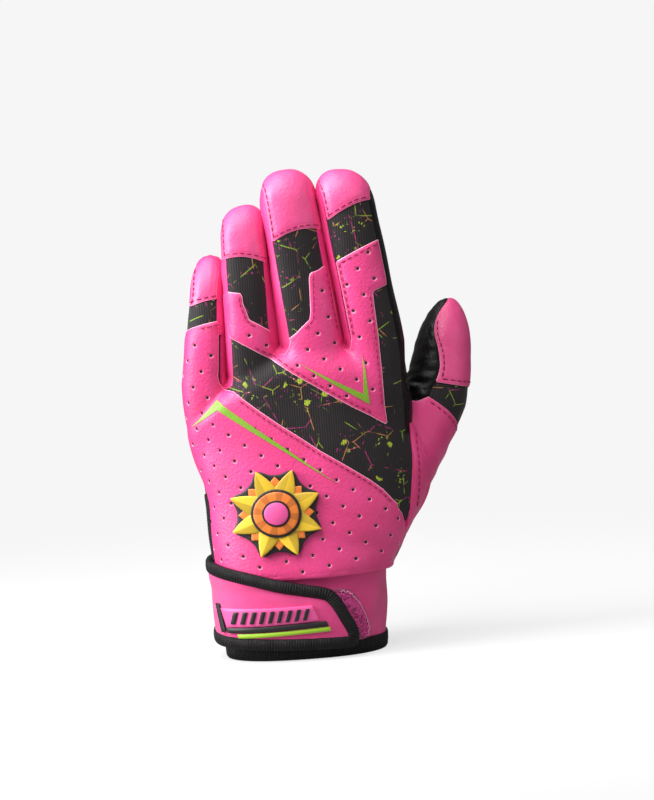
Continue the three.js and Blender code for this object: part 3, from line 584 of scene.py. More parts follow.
def stitching(name, lines, surface, lift, finish, **changes):
    # beads of thread along lines on a surface: each a low capsule with pointed ends
    settings = {**threadForm, **changes}
    sides, shares = settings["sides"], settings["shares"]
    lines = [evenly(line, settings["pitch"]) for line in lines]
    centre = np.concatenate([line[:-1] + .5 * np.diff(line, axis=0) for line in lines])
    half = unit(np.concatenate([np.diff(line, axis=0) for line in lines])) * settings["long"] / 2
    skin, normals = surface(*np.concatenate([centre - half, centre + half]).T)
    (a, b), normal = np.split(skin + normals * lift, 2), normals[:len(centre)]
    side = np.cross(normal, unit(b - a))
    turns = np.arange(sides) * 2 * np.pi / sides
    spread = (settings["wide"] * np.cos(turns)[:, None] * side[:, None, None]
              + settings["high"] * np.sin(turns)[:, None] * normal[:, None, None])
    ring = (a[:, None, None] + shares[:, None, None] * (b - a)[:, None, None]
            + settings["swell"][:, None, None] * spread)
    bead, first = len(shares) * sides, np.arange(len(centre))[:, None] * len(shares) * sides
    cells = (first[..., None] + gridCells(len(shares), sides, closeColumns=True)).reshape(-1, 4)
    caps = np.concatenate([first + np.arange(sides), first + bead - 1 - np.arange(sides)])
    return addMesh(name, ring.reshape(-1, 3), cells.tolist() + caps.tolist(), finish, sharp=80)


def carried(name, line, surface, profile, finish, ribs):
    # a closed profile of (sideways, height) carried along a line on a surface, its top rising and falling in ribs
    skin, normals = surface(line[:, 0], line[:, 1])
    side = unit(np.cross(normals, unit(np.gradient(skin, axis=0))), 0)
    reach, count = chordReach(skin), len(profile)
    rib = ribs["deep"] * (np.abs(np.sin(np.pi * reach / ribs["pitch"])) - .6)
    high = profile[:, 1] + rib[:, None] * (profile[:, 1] > profile[:, 1].min() + .3)
    points = skin[:, None] + side[:, None] * profile[None, :, :1] + normals[:, None] * high[..., None]
    points, cells = points.reshape(-1, 3), gridCells(len(line), count, closeColumns=True)
    last = (len(line) - 1) * count
    faces = cells.tolist() + [list(range(count))[::-1], [last + k for k in range(count)]]
    centre = (skin + normals * profile[:, 1].mean())[cells[:, 0] // count]
    if not agrees(points, cells, points[cells].mean(1) - centre):
        faces = [face[::-1] for face in faces]
    around = np.linspace(0, np.abs(np.diff(profile, axis=0)).sum(), count)
    uv = np.stack(np.broadcast_arrays(reach[:, None], around[None]), -1)
    return addMesh(name, points, faces, finish, uv.reshape(-1, 2))


def ringed(name, profile, finish, ribs=None, relief=None, turns=720):
    # a closed profile of (lift from the hand, height) carried once round the wrist
    profile = np.asarray(profile, float)
    angles = np.repeat(np.linspace(0, 2 * np.pi, turns, endpoint=False)[:, None], len(profile), 1)
    lift, height = (np.tile(profile[:, k], (turns, 1)) for k in (0, 1))
    low, high = profile[:, 0].min(), profile[:, 0].max()
    if ribs:
        lift = lift + ribs["deep"] * (np.abs(np.sin(angles * ribs["count"] / 2)) - .6) * (lift > low + .4)
    if relief:
        lift = lift + relief(angles, height)
    points, core = (wristPoint(angles, height, by).reshape(-1, 3) for by in (lift, (low + high) / 2))
    cells = gridCells(turns, len(profile), True, True)
    if not agrees(points, cells, points[cells].mean(1) - core[cells].mean(1)):
        cells = cells[:, ::-1]
    uv = np.stack([angles * wristForm["radius"], height], -1).reshape(-1, 2)
    return addMesh(name, points, cells, finish, uv)


def dress(piece, slot, body, *nodes, span=None):
    # hides the CAD parts that the piece stands for and ties it to one body; given a span, it is only baked in place
    # and tied to no body. slot: not used
    if nodes:
        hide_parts(*nodes)
    if span:
        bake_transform(piece)
    else:
        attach(piece, body)


print("stage: makers ready")


class Wire:
    # a shader value: sums, differences and products of wires become Math nodes
    def __init__(self, paint, socket):
        self.paint, self.socket = paint, socket

    def math(self, operation, other):
        return self.paint.node("ShaderNodeMath", {"operation": operation}, {0: self, 1: other})

    def __add__(self, other):
        return self.math("ADD", other)

    def __sub__(self, other):
        return self.math("SUBTRACT", other)

    def __mul__(self, other):
        return self.math("MULTIPLY", other)

    __radd__, __rmul__ = __add__, __mul__


class Paint:
    # the nodes of a material or of the world; uniform values are set on the surface's own sockets
    def __init__(self, owner, surface="Principled BSDF", **uniform):
        self.owner = owner
        self.owner.use_nodes = True
        self.tree = self.owner.node_tree
        self.surface = self.tree.nodes[surface]
        for key, value in uniform.items():
            self.surface.inputs[key.replace("_", " ")].default_value = value

    def node(self, kind, settings, sockets, output=0):
        # a node of a type: settings first, then the values or links of its sockets
        made = self.tree.nodes.new(kind)
        for key, value in settings.items():
            setattr(made, key, value)
        for key, value in sockets.items():
            if isinstance(value, Wire):
                self.tree.links.new(value.socket, made.inputs[key])
            else:
                made.inputs[key].default_value = value
        return Wire(self, made.outputs[output])

    def feed(self, **links):
        # links of the surface's varying sockets
        for key, value in links.items():
            self.tree.links.new(value.socket, self.surface.inputs[key.replace("_", " ")])
        return self.owner

    def place(self, output):
        # the piece's own coordinates, by object or by map
        return self.node("ShaderNodeTexCoord", {}, {}, output)

    def value(self, name):
        # a named value of the mesh's points
        return self.node("ShaderNodeAttribute", {"attribute_name": name}, {}, 2)

    def mix(self, factor, first, second):
        # first colour at nought, second at one
        return self.node("ShaderNodeMix", {"data_type": "RGBA"}, {0: factor, 6: first, 7: second}, 2)

    def ease(self, value, low, high):
        # nought at low to one at high by three squares less two cubes
        return self.node("ShaderNodeMapRange", {"interpolation_type": "SMOOTHSTEP"},
                         {"Value": value, "From Min": low, "From Max": high})

    def noise(self, place, scale, detail=2.0, output=0):
        # cloudy value, or colour, in octaves
        return self.node("ShaderNodeTexNoise", {}, {"Vector": place, "Scale": scale, "Detail": detail}, output)

    def cells(self, place, scale, **settings):
        # distance to the nearest of scattered points, or to the edge between two
        return self.node("ShaderNodeTexVoronoi", settings, {"Vector": place, "Scale": scale})

    def bands(self, place, scale, direction, distortion):
        # sine waves across a direction, pushed about by noise
        return self.node("ShaderNodeTexWave", {"bands_direction": direction},
                         {"Vector": place, "Scale": scale, "Distortion": distortion})

    def bump(self, height, strength, distance):
        # normal tilted by the slope of a height
        return self.node("ShaderNodeBump", {}, {"Height": height, "Strength": strength, "Distance": distance})


def leather(name, colour, shade, rough, grain, deep, pale=None, shine=.6):
    # dyed leather: pebbles from cell distance, slow change of tone from noise, pale cut edge by attribute, and
    # painted shade in the holes by attribute
    paint = Paint(bpy.data.materials.new(name), Specular_IOR_Level=shine)
    place = paint.place("Object")
    slow = paint.ease(paint.noise(place, 55, 3), .3, .72)
    tone = paint.mix(slow, colour, shade)
    if pale:
        tone = paint.mix(paint.ease(paint.value("edge"), .42, .12) * .75, tone, pale)
        pore = paint.value("pore")
        rim = paint.ease(pore, .02, .2) * paint.ease(pore, .5, .3)
        tone = paint.mix(rim * .45, tone, pale)
        # painted shade: the bowl of each hole darkened to a deep wine colour, standing in for the shade inside the
        # hole
        tone = paint.mix(paint.ease(pore, .38, .62), tone, (.055, .006, .022, 1))
    pebble = paint.cells(place, grain, feature="SMOOTH_F1")
    fine = paint.noise(place, grain * 3.1, 2)
    gloss = rough + .12 * slow - .06 * fine
    return paint.feed(Base_Color=tone, Roughness=gloss, Normal=paint.bump(pebble + .35 * fine, deep, .00022))


def knit(name, colour, shade, pitch, rough, deep, sheen=.25):
    # jersey: two crossed rows of loops in the piece's own map, lightly mottled, with painted shade where the rows dip
    paint = Paint(bpy.data.materials.new(name), Sheen_Weight=sheen, Specular_IOR_Level=.25)
    place, flat = paint.place("Object"), paint.place("UV")
    rows = paint.bands(flat, 1 / pitch, "X", 1.2) + .6 * paint.bands(flat, .8 / pitch, "Y", 1.5)
    slow = paint.noise(place, 90, 3)
    # painted shade: the colour darkens where the rows of loops dip, the same rows that the bump sinks; the slow noise
    # adds random mottling
    tone = paint.mix(paint.ease(slow + .25 * rows, .35, 1.1), shade, colour)
    return paint.feed(Base_Color=tone, Roughness=rough + .08 * slow, Normal=paint.bump(rows, deep, .00025))


def dimmed(colour, share):
    # colour times a share, opaque
    return tuple(share * c for c in colour[:3]) + (1,)


def plain(name, colour, rough, grain=900, deep=.12):
    # moulded or spun piece of one colour with a faint tooth
    paint = Paint(bpy.data.materials.new(name))
    fine = paint.noise(paint.place("Object"), grain, 2)
    tone = paint.mix(fine * .35, colour, dimmed(colour, .6))
    tone = paint.mix(paint.value("shade"), tone, dimmed(colour, .62))
    return paint.feed(Base_Color=tone, Roughness=rough + .1 * fine, Normal=paint.bump(fine, deep, .0002))


def printed(name):
    # charcoal stretch cloth, finely ribbed with painted shade in the ribs' grooves, with a neon print of broken
    # shards, splashes and flecks
    paint = Paint(bpy.data.materials.new(name), Sheen_Weight=.12, Specular_IOR_Level=.3)
    place, flat = paint.place("Object"), paint.place("UV")
    ribs = paint.bands(flat, .3, "X", .5)
    slow, other, broken = paint.noise(place, 62, 1), paint.noise(place, 85, 1), paint.noise(place, 130, 2)
    # painted shade: the charcoal darkens in the grooves of the same ribs that the bump sinks
    tone = paint.mix(ribs * .6, (.0095, .0068, .008, 1), (.019, .0135, .016, 1))

    def shards(size, wide):
        gap = paint.cells(flat, 1 / size, feature="DISTANCE_TO_EDGE", voronoi_dimensions="2D")
        return paint.ease(gap, wide, wide * .45) * paint.ease(broken, .44, .52)

    big, small = shards(17, .017), shards(11.3, .021)
    tone = paint.mix(big * paint.ease(slow, .47, .53) * .7, tone, (.42, .022, .17, 1))
    tone = paint.mix(big * paint.ease(slow, .47, .41) * .75, tone, (.25, .42, .02, 1))
    tone = paint.mix(small * paint.ease(other, .53, .6) * .7, tone, (.62, .27, .07, 1))
    tone = paint.mix(small * paint.ease(other, .43, .37) * .7, tone, (.3, .42, .03, 1))
    ragged = paint.node("ShaderNodeVectorMath", {"operation": "MULTIPLY_ADD"},
                        {0: paint.noise(flat, .8, output=1), 1: (2.6, 2.6, 0), 2: flat})
    splash, fleck = (paint.cells(ragged, 1 / size, voronoi_dimensions="2D") for size in (15, 2.3))
    tone = paint.mix(paint.ease(splash, .1, .07) * paint.ease(other, .5, .54) * .85, tone, (.4, .5, .03, 1))
    near = paint.ease(splash, .5, .3) * paint.ease(broken, .46, .56)
    tone = paint.mix(paint.ease(fleck, .2, .12) * near * paint.ease(slow, .5, .55) * .8, tone, (.36, .5, .03, 1))
    tone = paint.mix(paint.ease(fleck, .18, .1) * near * paint.ease(slow, .5, .45) * .7, tone, (.5, .03, .2, 1))
    return paint.feed(Base_Color=tone, Roughness=.62 + .1 * ribs, Normal=paint.bump(ribs, .3, .0003))


pink, pinkShade, pinkPale, pinkCut = (.82, .054, .248, 1), (.72, .038, .192, 1), (1.0, .5, .64, 1), (.95, .22, .42, 1)
looks = {
    "tipLeather": (leather, (.86, .075, .272, 1), (.8, .058, .236, 1), .47, 850, .5, pinkCut, .75),
    "grainLeather": (leather, pink, pinkShade, .47, 1000, .62, pinkPale),
    "sideLeather": (leather, (.8, .05, .24, 1), pinkShade, .44, 950, .4, pinkCut),
    "palmLeather": (leather, (.005, .004, .004, 1), (.008, .006, .0065, 1), .36, 620, 1.0, None, .2),
    "stretch": (printed,),
    # knit, binding and loop: the second colour is the darker tone, used for random mottling and for the painted shade
    # between the loops
    "knit": (knit, (.9, .082, .3, 1), (.76, .058, .235, 1), 1.1, .75, .5),
    "binding": (knit, (.009, .007, .008, 1), (.003, .002, .0025, 1), .9, .36, .4, .0),
    "loop": (knit, (.66, .045, .25, 1), (.4, .015, .13, 1), .7, .85, .9, .35),
    "rubberBlack": (plain, (.01, .009, .01, 1), .45),
    "rubberPink": (plain, (.88, .1, .35, 1), .42),
    "rubberLime": (plain, (.36, .62, .03, 1), .42),
    "rubberYellow": (plain, (.85, .55, .03, 1), .42),
    "rubberOrange": (plain, (.85, .22, .03, 1), .42),
    "limeFilm": (leather, (.22, .43, .02, 1), (.19, .36, .018, 1), .46, 1000, .4),
    "thread": (plain, (.36, .008, .088, 1), .6, 2500, .5),
    "loopThread": (plain, (.8, .09, .36, 1), .7, 2500, .5),
    "threadPale": (plain, (.85, .3, .5, 1), .6, 2500, .5),
}
finishes = {name: make(name, *look) for name, (make, *look) in looks.items()}
print("stage: finishes ready")


bandBow = .3  # bow of a band's lower seam as a share of the tip seam's


def seamShare(name, side):
    # share of the half width at which a finger's ulnar (-1) or thumb (+1) side seam runs
    return side * fingerForms[name]["seams"][0 if side < 0 else 1]


def fingerSide(name, side, low, high, count=24):
    # dorsal seam of a finger on one side, from low to high along it
    along = np.linspace(low, high, count)
    return fingerPlane(name, seamShare(name, side) * fingerHalf(name, along), along)


def crossAt(name, key, share):
    # length along a finger of its cross seam: slanted, and bowed by one less the squared share of the half width
    form = fingerForms[name]
    bow = form["bow"] * (1 if key == "tip" else bandBow) * (1 - share ** 2)
    return form[key] + form["slant"] * share * fingerHalf(name, form[key]) + bow


def crossLocal(name, key, shift=0.0, ends=None):
    # that seam from a finger's ulnar to its thumb side, as places across and along it
    share = np.linspace(*(ends or (seamShare(name, -1), seamShare(name, 1))), 17)
    return np.stack([share * fingerHalf(name, fingerForms[name][key]), crossAt(name, key, share) + shift], -1)


def fingerCross(name, key, shift=0.0, ends=None):
    # the same seam in drawing x and z
    return fingerPlane(name, *crossLocal(name, key, shift, ends).T)


def seamAt(name, key, side):
    # length along a finger at which a cross seam meets a side seam
    return crossAt(name, key, seamShare(name, side))


def ownField(name):
    # the skin with one finger alone, so that no ray runs on into a touching finger
    return lambda p: skinField(p, (name,))


def domeFoot(name):
    # length along a finger at which its dome begins
    return fingerForms[name]["length"] - fingerForms[name]["dome"]


def onTip(name):
    # rays across a finger's back that tilt upwards over the dome, so that the sheet goes over the tip
    dome, top, field, (cos, sin) = fingerForms[name]["dome"], domeFoot(name), ownField(name), leanOf(name)

    def surface(u, v):
        tilt = np.clip((v - top) / dome, 0, 1.3) * np.pi / 2
        low = np.minimum(v, top)
        plane = fingerPlane(name, u, low)
        start = np.stack([plane[:, 0], fingerMid(name, u, low), plane[:, 1]], -1)
        ray = np.stack([-sin * np.sin(tilt), -np.cos(tilt), cos * np.sin(tilt)], -1)
        return landed(field, start, ray, rayForm["tip"])
    return surface


def hinge(name):
    # length along a finger of its flex line, midway between its two cross seams
    return (fingerForms[name]["tip"] + fingerForms[name]["band"]) / 2


def hingeSpan(name, reach=7):
    # two places in the shared frame either side of a finger's flex line
    places = [np.insert(fingerPlane(name, 0.0, hinge(name) + step), 1, 0) for step in (-reach, reach)]
    return [tuple(toFrame(place)) for place in places]


def poresFrom(x, z):
    # lattice of holes with one of them at x, z
    start = turned(np.array([[x, z]]), -poreForm["turn"])[0] % poreForm["pitch"]
    return {**poreForm, "start": start}


onBack, onPalm, onGlove = facing(-1), facing(1), facing(-1, gloveField)

# finger tips: leather over the top joint, down to the slanted cross seam and over the dome
tipSettings = {"step": .62, "puff": .45, "lift": .95, "round": .3}
tipChanges = {"little": {"puff": .1, "lift": .78, "round": .12}}
# thumb side of a tip panel over the dome, as shares of the half width and of the dome
tipEdges = {"index": [(.84, .27), (.87, .53), (.9, .8), (.85, 1.03)],
            "little": [(.6, -.13), (.6, .35), (.64, .6), (.68, 1)]}


def leatherSlack(u, v):
    # drawn leather: shallow crossing ripples a few millimetres apart
    return .07 * np.sin(u / 1.7 + np.sin(v / 3.1)) * np.sin(v / 2.4 + .8 * np.sin(u / 2.3))


for finger, form in fingerForms.items():
    onThis, cross, ulnarShare = onTip(finger), crossLocal(finger, "tip"), seamShare(finger, -1)
    size, foot = (fingerHalf(finger, form["length"]), form["dome"]), (0, domeFoot(finger))
    over = tipEdges.get(finger, [(form["seams"][1], -2 / form["dome"]), (.9, .35), (.97, .6), (.93, 1)]) + [(.5, 1.2)]
    down = [(-.5, 1.2), (-.84, .95), (ulnarShare, .5), (ulnarShare, 0)]
    right = curveThrough(np.concatenate([cross[-1:], np.array(over) * size + foot]), 40)
    left = curveThrough(np.concatenate([np.array(down) * size + foot, cross[:1]]), 40)
    tip = sewnPanel(finger + "TipPanel", np.concatenate([cross[:-1], right, left[:-1]]), onThis, "tipLeather",
                    relief=leatherSlack, **{**tipSettings, **tipChanges.get(finger, {})})
    dress(tip, "smooth_leather", finger + "_tip", finger + "_tip_panel")
    seams = [shifted(cross, 1.5)[1:-1], shifted(left, 1.0)[8:-2]]
    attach(stitching(finger + "TipStitch", seams, onThis, 1.12, "thread"), finger + "_tip")
print("stage: finger tips")

# back of the hand: upper panel with its windows, measured on the photo and moved to drawing x and z
photoShift = (2.8, 0)
upperLow = np.array([(44.9, 99.7), (37.4, 104.8), (29.8, 109.3), (21.4, 114.8), (13.0, 120.4), (4.6, 125.9),
                     (-3.7, 131.8), (-12.1, 137.3), (-21.0, 142.9)]) - photoShift
ringWindow = np.array([(-18.9, 163.0), (-15.4, 162.5), (-14.7, 161.0), (-14.5, 157.8), (-13.1, 153.3), (-12.4, 150.6),
                       (-9.1, 148.6), (-4.9, 145.6)]) - photoShift
middleWindow = np.array([(8.2, 143.7), (10.6, 146.1), (14.0, 149.0), (14.6, 152.0), (14.8, 159.9), (14.9, 166.5),
                         (15.6, 169.3), (19.1, 170.2)]) - photoShift
upperRight = np.array([(48.6, 161.5), (42.9, 159.3), (42.6, 158.0), (43.7, 140.0), (44.2, 124.5),
                       (44.3, 109.1)]) - photoShift
lowerDiagonal = np.array([(-23.9, 122.4), (-18.2, 116.6), (-9.9, 109.8), (-1.6, 103.4), (6.8, 97.4), (15.1, 91.1),
                          (23.5, 85.5), (29.8, 81.1), (36.0, 76.6), (41.0, 72.2), (45.0, 67.1), (48.1, 61.1),
                          (49.4, 55.7), (49.2, 52.4)]) - photoShift
stretchRight = np.array([(49.8, 162.0), (51.8, 148.2), (52.7, 137.1), (54.0, 125.9), (54.9, 114.8), (55.4, 108.2),
                         (55.2, 99.4), (56.6, 90.4), (57.2, 81.6), (56.5, 72.8), (54.9, 64.1), (52.2, 57.7),
                         (49.2, 52.6)]) - photoShift

# foot of the slot between two fingers, and the rounded hem of the panel round it
crotches = {("little", "ring"): (-27.0, 121.5), ("ring", "middle"): (-2.8, 135.2), ("middle", "index"): (25.8, 135.1)}
hemRing = curveThrough([(-5.75, 141.5), (-5.2, 137.2), (-3.2, 133.9), (-.6, 134.0), (1.5, 137.0), (2.45, 140.2)], 21)
hemIndex = curveThrough([(24.0, 139.5), (24.6, 135.6), (26.4, 133.2), (28.4, 134.4), (29.2, 138.5)], 21)
hemLittle = curveThrough([(-31.25, 127), (-30.5, 122.6), (-28.6, 119.9), (-26.2, 119.6), (-24.2, 119.3)], 17)
upperOutline = np.concatenate([
    upperLow, fingerSide("ring", -1, 9, seamAt("ring", "band", -1)), ringWindow,
    fingerSide("ring", 1, 7.6, fingerLocal("ring", *hemRing[0])[1] + .4, 4), hemRing,
    fingerSide("middle", -1, fingerLocal("middle", *hemRing[-1])[1] + .3, 5.2, 4), middleWindow,
    fingerSide("middle", 1, seamAt("middle", "band", 1), fingerLocal("middle", *hemIndex[0])[1] + .4), hemIndex,
    fingerSide("index", -1, fingerLocal("index", *hemIndex[-1])[1] + .4, seamAt("index", "band", -1)),
    fingerCross("index", "band")[1:], fingerSide("index", 1, seamAt("index", "band", 1) - 1, 29), upperRight])
dress(sewnPanel("backUpperPanel", upperOutline, onBack, "grainLeather", pores=poresFrom(16.3, 130.9)),
      "perforated_leather", "hand", "back_upper_panel")
upperStitch = [shifted(upperLow, -1.5)[1:-1], shifted(ringWindow, -1.5)[1:-1], shifted(middleWindow, -1.5)[1:-1],
               shifted(upperRight, -1.5)[2:], shifted(fingerCross("index", "band"), -1.5)[1:-1],
               shifted(fingerSide("index", -1, 7, 40), -1.3), shifted(hemIndex, 1.3),
               shifted(fingerSide("middle", 1, 31, 5), -1.3)]
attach(stitching("backUpperStitch", upperStitch, onBack, 1.3, "thread"), "hand")
print("stage: upper panel")

# back of the hand: large lower panel round the ulnar edge and up the little finger
lowerForm = {"foot": 36.2, "ventTurn": 1.22, "palmTurn": 1.95, "thumbTurn": 1.85, "topTurn": 1.7, "footCore": 25.6,
             "topAcross": -5.4, "topUnder": 1.6, "topDrop": 3.4}
littleEnds = (-.45, .66)  # shares of the half width between which the little finger's cross seams run here


def ulnarEdge(z, turnLow, turnHigh, ease=(72, 86)):
    # unrolled edge of a panel round the ulnar side, the fan's angle growing past the vent
    turn = turnLow + (turnHigh - turnLow) * easeStep(*ease, z)
    return fanAt("ulnarCore", z) - turn * fanAt("ulnarTurn", z)


def ulnarPath(heights, *turns):
    # that edge at each of the heights, as a line
    return np.stack([ulnarEdge(heights, *turns), heights], -1)


littleTop = fingerPlane("little", lowerForm["topAcross"], fingerForms["little"]["band"] - lowerForm["topUnder"])[1]
sideHeights = np.linspace(littleTop - lowerForm["topDrop"], lowerForm["foot"], 60)
ulnarLine = ulnarPath(sideHeights, lowerForm["ventTurn"], lowerForm["palmTurn"])
footRight = lowerForm["footCore"] + wrapForm["thumbTurn"] * lowerForm["thumbTurn"]
footLine = np.stack([np.linspace(ulnarLine[-1, 0], footRight, 60), np.full(60, lowerForm["foot"])], -1)
thumbHeights = np.linspace(lowerForm["foot"], lowerDiagonal[-1, 1], 10)
thumbTurns = np.linspace(lowerForm["thumbTurn"], lowerForm["topTurn"], 10)
thumbLine = np.stack([fanAt("thumbCore", thumbHeights) + wrapForm["thumbTurn"] * thumbTurns, thumbHeights], -1)
diagonalWrap = np.stack([wrapU(*lowerDiagonal.T), lowerDiagonal[:, 1]], -1)
lowerOutline = np.concatenate([
    fingerCross("little", "band", ends=littleEnds),
    fingerSide("little", 1, seamAt("little", "band", 1), fingerLocal("little", *hemLittle[0])[1] + .4)[1:],
    hemLittle, diagonalWrap[1:], thumbLine[::-1], footLine[::-1], ulnarLine[::-1]])
onWrap = wrapped(-1)


def wristFolds(u, v):
    # slack above the cuff: slanted folds towards the thumb's side that fade upwards
    return .3 * np.sin((v + .22 * u) / 2.3 + .6 * np.sin(u / 7)) * easeStep(8, 34, u) * easeStep(66, 46, v)


dress(sewnPanel("backLowerPanel", lowerOutline, onWrap, "grainLeather", pores=poresFrom(-15.9, 102.5), puff=.6,
                foldBelow=40, relief=wristFolds), "perforated_leather", "hand", "back_lower_panel")
lowerStitch = [shifted(diagonalWrap, -1.5)[1:-3], shifted(fingerCross("little", "band", ends=littleEnds), -1.7)[1:-1]]
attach(stitching("backLowerStitch", lowerStitch, onWrap, 1.6, "thread"), "hand")
print("stage: lower panel")

# stretch cloth between the panels and over the knuckles
clothForm = {"step": .8, "lift": .25, "round": .1, "puff": .15, "groove": 0, "thick": 1.0}
clothLap = -2.2  # how far the cloth goes on under the leather
clothOutline = np.concatenate([shifted(upperLow, clothLap)[::-1], shifted(upperRight, clothLap)[::-1][:-1],
                               stretchRight[:-1] + (.8, 0), shifted(lowerDiagonal, clothLap)[::-1][1:],
                               fingerSide("ring", -1, 0, 9, 6)])
dress(sewnPanel("backStretchPanel", clothOutline, onGlove, "stretch", sewnTo=["back_lower_panel", "back_upper_panel"],
                **clothForm), "stretch_print", "hand", "back_stretch_panel")


def underlapped(name, outline, reach=1.8, most=.97, past=.12):
    # outline grown under its neighbours but kept a little past the finger's side seams
    after = np.roll(outline, -1, 0)
    run = unit(after - np.roll(outline, 1, 0))
    sign = np.sign((after[:, 1] * outline[:, 0] - after[:, 0] * outline[:, 1]).sum())
    across, along = fingerLocal(name, *(outline + reach * sign * np.stack([run[:, 1], -run[:, 0]], -1)).T)
    half, (low, high) = fingerHalf(name, along), (min(most, seam + past) for seam in fingerForms[name]["seams"])
    return fingerPlane(name, np.clip(across, -low * half, high * half), along)


windows = {
    "index": np.concatenate([fingerCross("index", "band"), fingerCross("index", "tip")[::-1]]),
    "middle": np.concatenate([fingerSide("middle", -1, seamAt("middle", "tip", -1), 4, 18), middleWindow,
                              fingerSide("middle", 1, seamAt("middle", "band", 1), seamAt("middle", "tip", 1), 9),
                              fingerCross("middle", "tip")[::-1][1:-1]]),
    "ring": np.concatenate([fingerCross("ring", "tip")[:-1], fingerSide("ring", 1, seamAt("ring", "tip", 1), 7, 16),
                            ringWindow[::-1],
                            fingerSide("ring", -1, seamAt("ring", "band", -1), seamAt("ring", "tip", -1), 8)[:-1]]),
}
nodesOf = {"index": "index_stretch_band", "middle": "middle_stretch_panel", "ring": "ring_stretch_panel"}
for finger, outline in windows.items():
    band = sewnPanel(finger + "Stretch", underlapped(finger, outline), onBack, "stretch",
                     sewnTo=[finger + "_tip_panel", "back_upper_panel"], **clothForm)
    dress(band, "stretch_print", finger + "_tip", nodesOf[finger], span=hingeSpan(finger))
littleLow, littleHigh = fingerCross("little", "band", -2, littleEnds), fingerCross("little", "tip", 2, littleEnds)
bandHeights = np.linspace(littleHigh[0, 1] - 1, littleLow[0, 1] - 3, 12)
littleOutline = np.concatenate([littleLow, littleHigh[::-1], ulnarPath(bandHeights, 2.6, 2.6)])
band = sewnPanel("littleStretch", littleOutline, onWrap, "stretch", sewnTo=["little_tip_panel", "back_lower_panel"],
                 **clothForm)
dress(band, "stretch_print", "little_tip", "little_stretch_band", span=hingeSpan("little"))
print("stage: stretch cloth")

# side strips: a rim path just inside the outline, fanned from the back round to the palm
stripForm = {"inset": {"index": 5.0, "middle": 5.0, "ring": 4.4, "little": 3.8}, "low": .33, "high": 2.92, "fan": 17,
             "step": .8, "lift": .55, "thick": 1.2, "under": 9.0, "clear": .55, "swell": 2.0, "foot": 0.0, "lap": 5}
stripChanges = {"ring": {"swell": .9, "clear": .8}, "little": {"low": .05}}  # room for ring to pass little
baseForm = {"lift": .42, "clear": .18, "swell": 3.4, "foot": 2.0}
indexForm = {"pinkTo": 55, "blackFrom": 52, "low": .3}  # points of the index path that are pink, then black
crotchForm = {"reach": {"little": 4.9, "ring": 6.6, "middle": 5.5}, "rise": 1.4, "over": 1.5}


def tipPath(name):
    # rim path of a finger tip from its ulnar side over the dome to its thumb side
    inset, top = stripForm["inset"][name], domeFoot(name)
    up, turn = np.linspace(hinge(name) - stripForm["under"], top, 30), np.linspace(np.pi, 0, 30)[1:-1]
    side, half = fingerHalf(name, up) - inset, fingerHalf(name, top) - inset
    arc = fingerPlane(name, half * np.cos(turn), top + (fingerForms[name]["dome"] - inset) * np.sin(turn))
    return np.concatenate([fingerPlane(name, -side, up), arc, fingerPlane(name, side, up)[::-1]])


def basePath(pair):
    # rim path between two fingers: down one side, round the crotch and up the other
    (x, z), reach = crotches[pair], crotchForm["reach"][pair[0]]
    centre, turn = z + crotchForm["rise"], np.linspace(np.pi, 2 * np.pi, 15)

    def stalk(name, side):
        along = np.linspace(hinge(name) - stripForm["lap"], 0, 30)
        line = fingerPlane(name, side * (fingerHalf(name, along) - stripForm["inset"][name]), along)
        return line[line[:, 1] > centre + crotchForm["over"]]

    arc = np.stack([x + reach * np.cos(turn), centre + reach * np.sin(turn)], -1)
    return curveThrough(np.concatenate([stalk(pair[0], 1)[::3], arc[2:-2], stalk(pair[1], -1)[::-1][::3]]), 120)


def sideStrip(name, path, finish, owner=None, **changes):
    # grid of a rim path by fan angles: each ray starts on the path, its angle turning from back to palm
    settings, field = {**stripForm, **changes}, ownField(owner) if owner else skinField
    path = evenly(path, settings["step"])
    run = unit(np.gradient(path, axis=0), 0)
    angle = np.linspace(settings["low"], settings["high"], settings["fan"])[None, :, None]
    start = np.stack([path[:, 0], middleY(path[:, 0], path[:, 1]), path[:, 1]], -1)
    away = np.stack([-run[:, 1], 0 * run[:, 0], run[:, 0]], -1)
    ray = away[:, None] * np.sin(angle) - np.array([0, 1.0, 0]) * np.cos(angle)
    start = np.broadcast_to(start[:, None], ray.shape)
    skin = dropOn(field, start, ray, rayForm["strip"], rayForm["stripSteps"]).reshape(-1, 3)
    normals = fieldNormal(field, skin)
    cells = outward(skin, normals, gridCells(len(path), settings["fan"]))
    # slack fills half of the gap to the next finger, smoothed along the path
    steps = np.linspace(0, rayForm["strip"], 65)
    inside = skinField(start[:, :1] + away[:, None] * steps[None, :, None]) < 0
    leaves = np.argmin(inside, 1)
    again = inside & (np.arange(len(steps)) > leaves[:, None])
    gap = (again.argmax(1) - leaves) * steps[1]
    slack = np.where(again.any(1), np.clip(gap / 2 - settings["clear"], 0, settings["swell"]), settings["foot"])
    slack = np.convolve(np.pad(slack, 4, "edge"), np.ones(9) / 9, "valid")
    swell = slack[:, None] * np.sin(np.pi * np.linspace(0, 1, settings["fan"])[None]) ** 1.5
    outer = skin + normals * (settings["lift"] + swell).reshape(-1, 1)
    shell, faces = closedShell(outer, skin + normals * (settings["lift"] - settings["thick"]), cells)
    uv = np.broadcast_arrays(np.arange(len(path))[:, None] * settings["step"], angle[..., 0] * 8)
    uv = np.stack(uv, -1).reshape(-1, 2)
    return addMesh(name, shell, faces, finish, np.concatenate([uv, uv]), {"edge": np.full(2 * len(uv), uncut)})


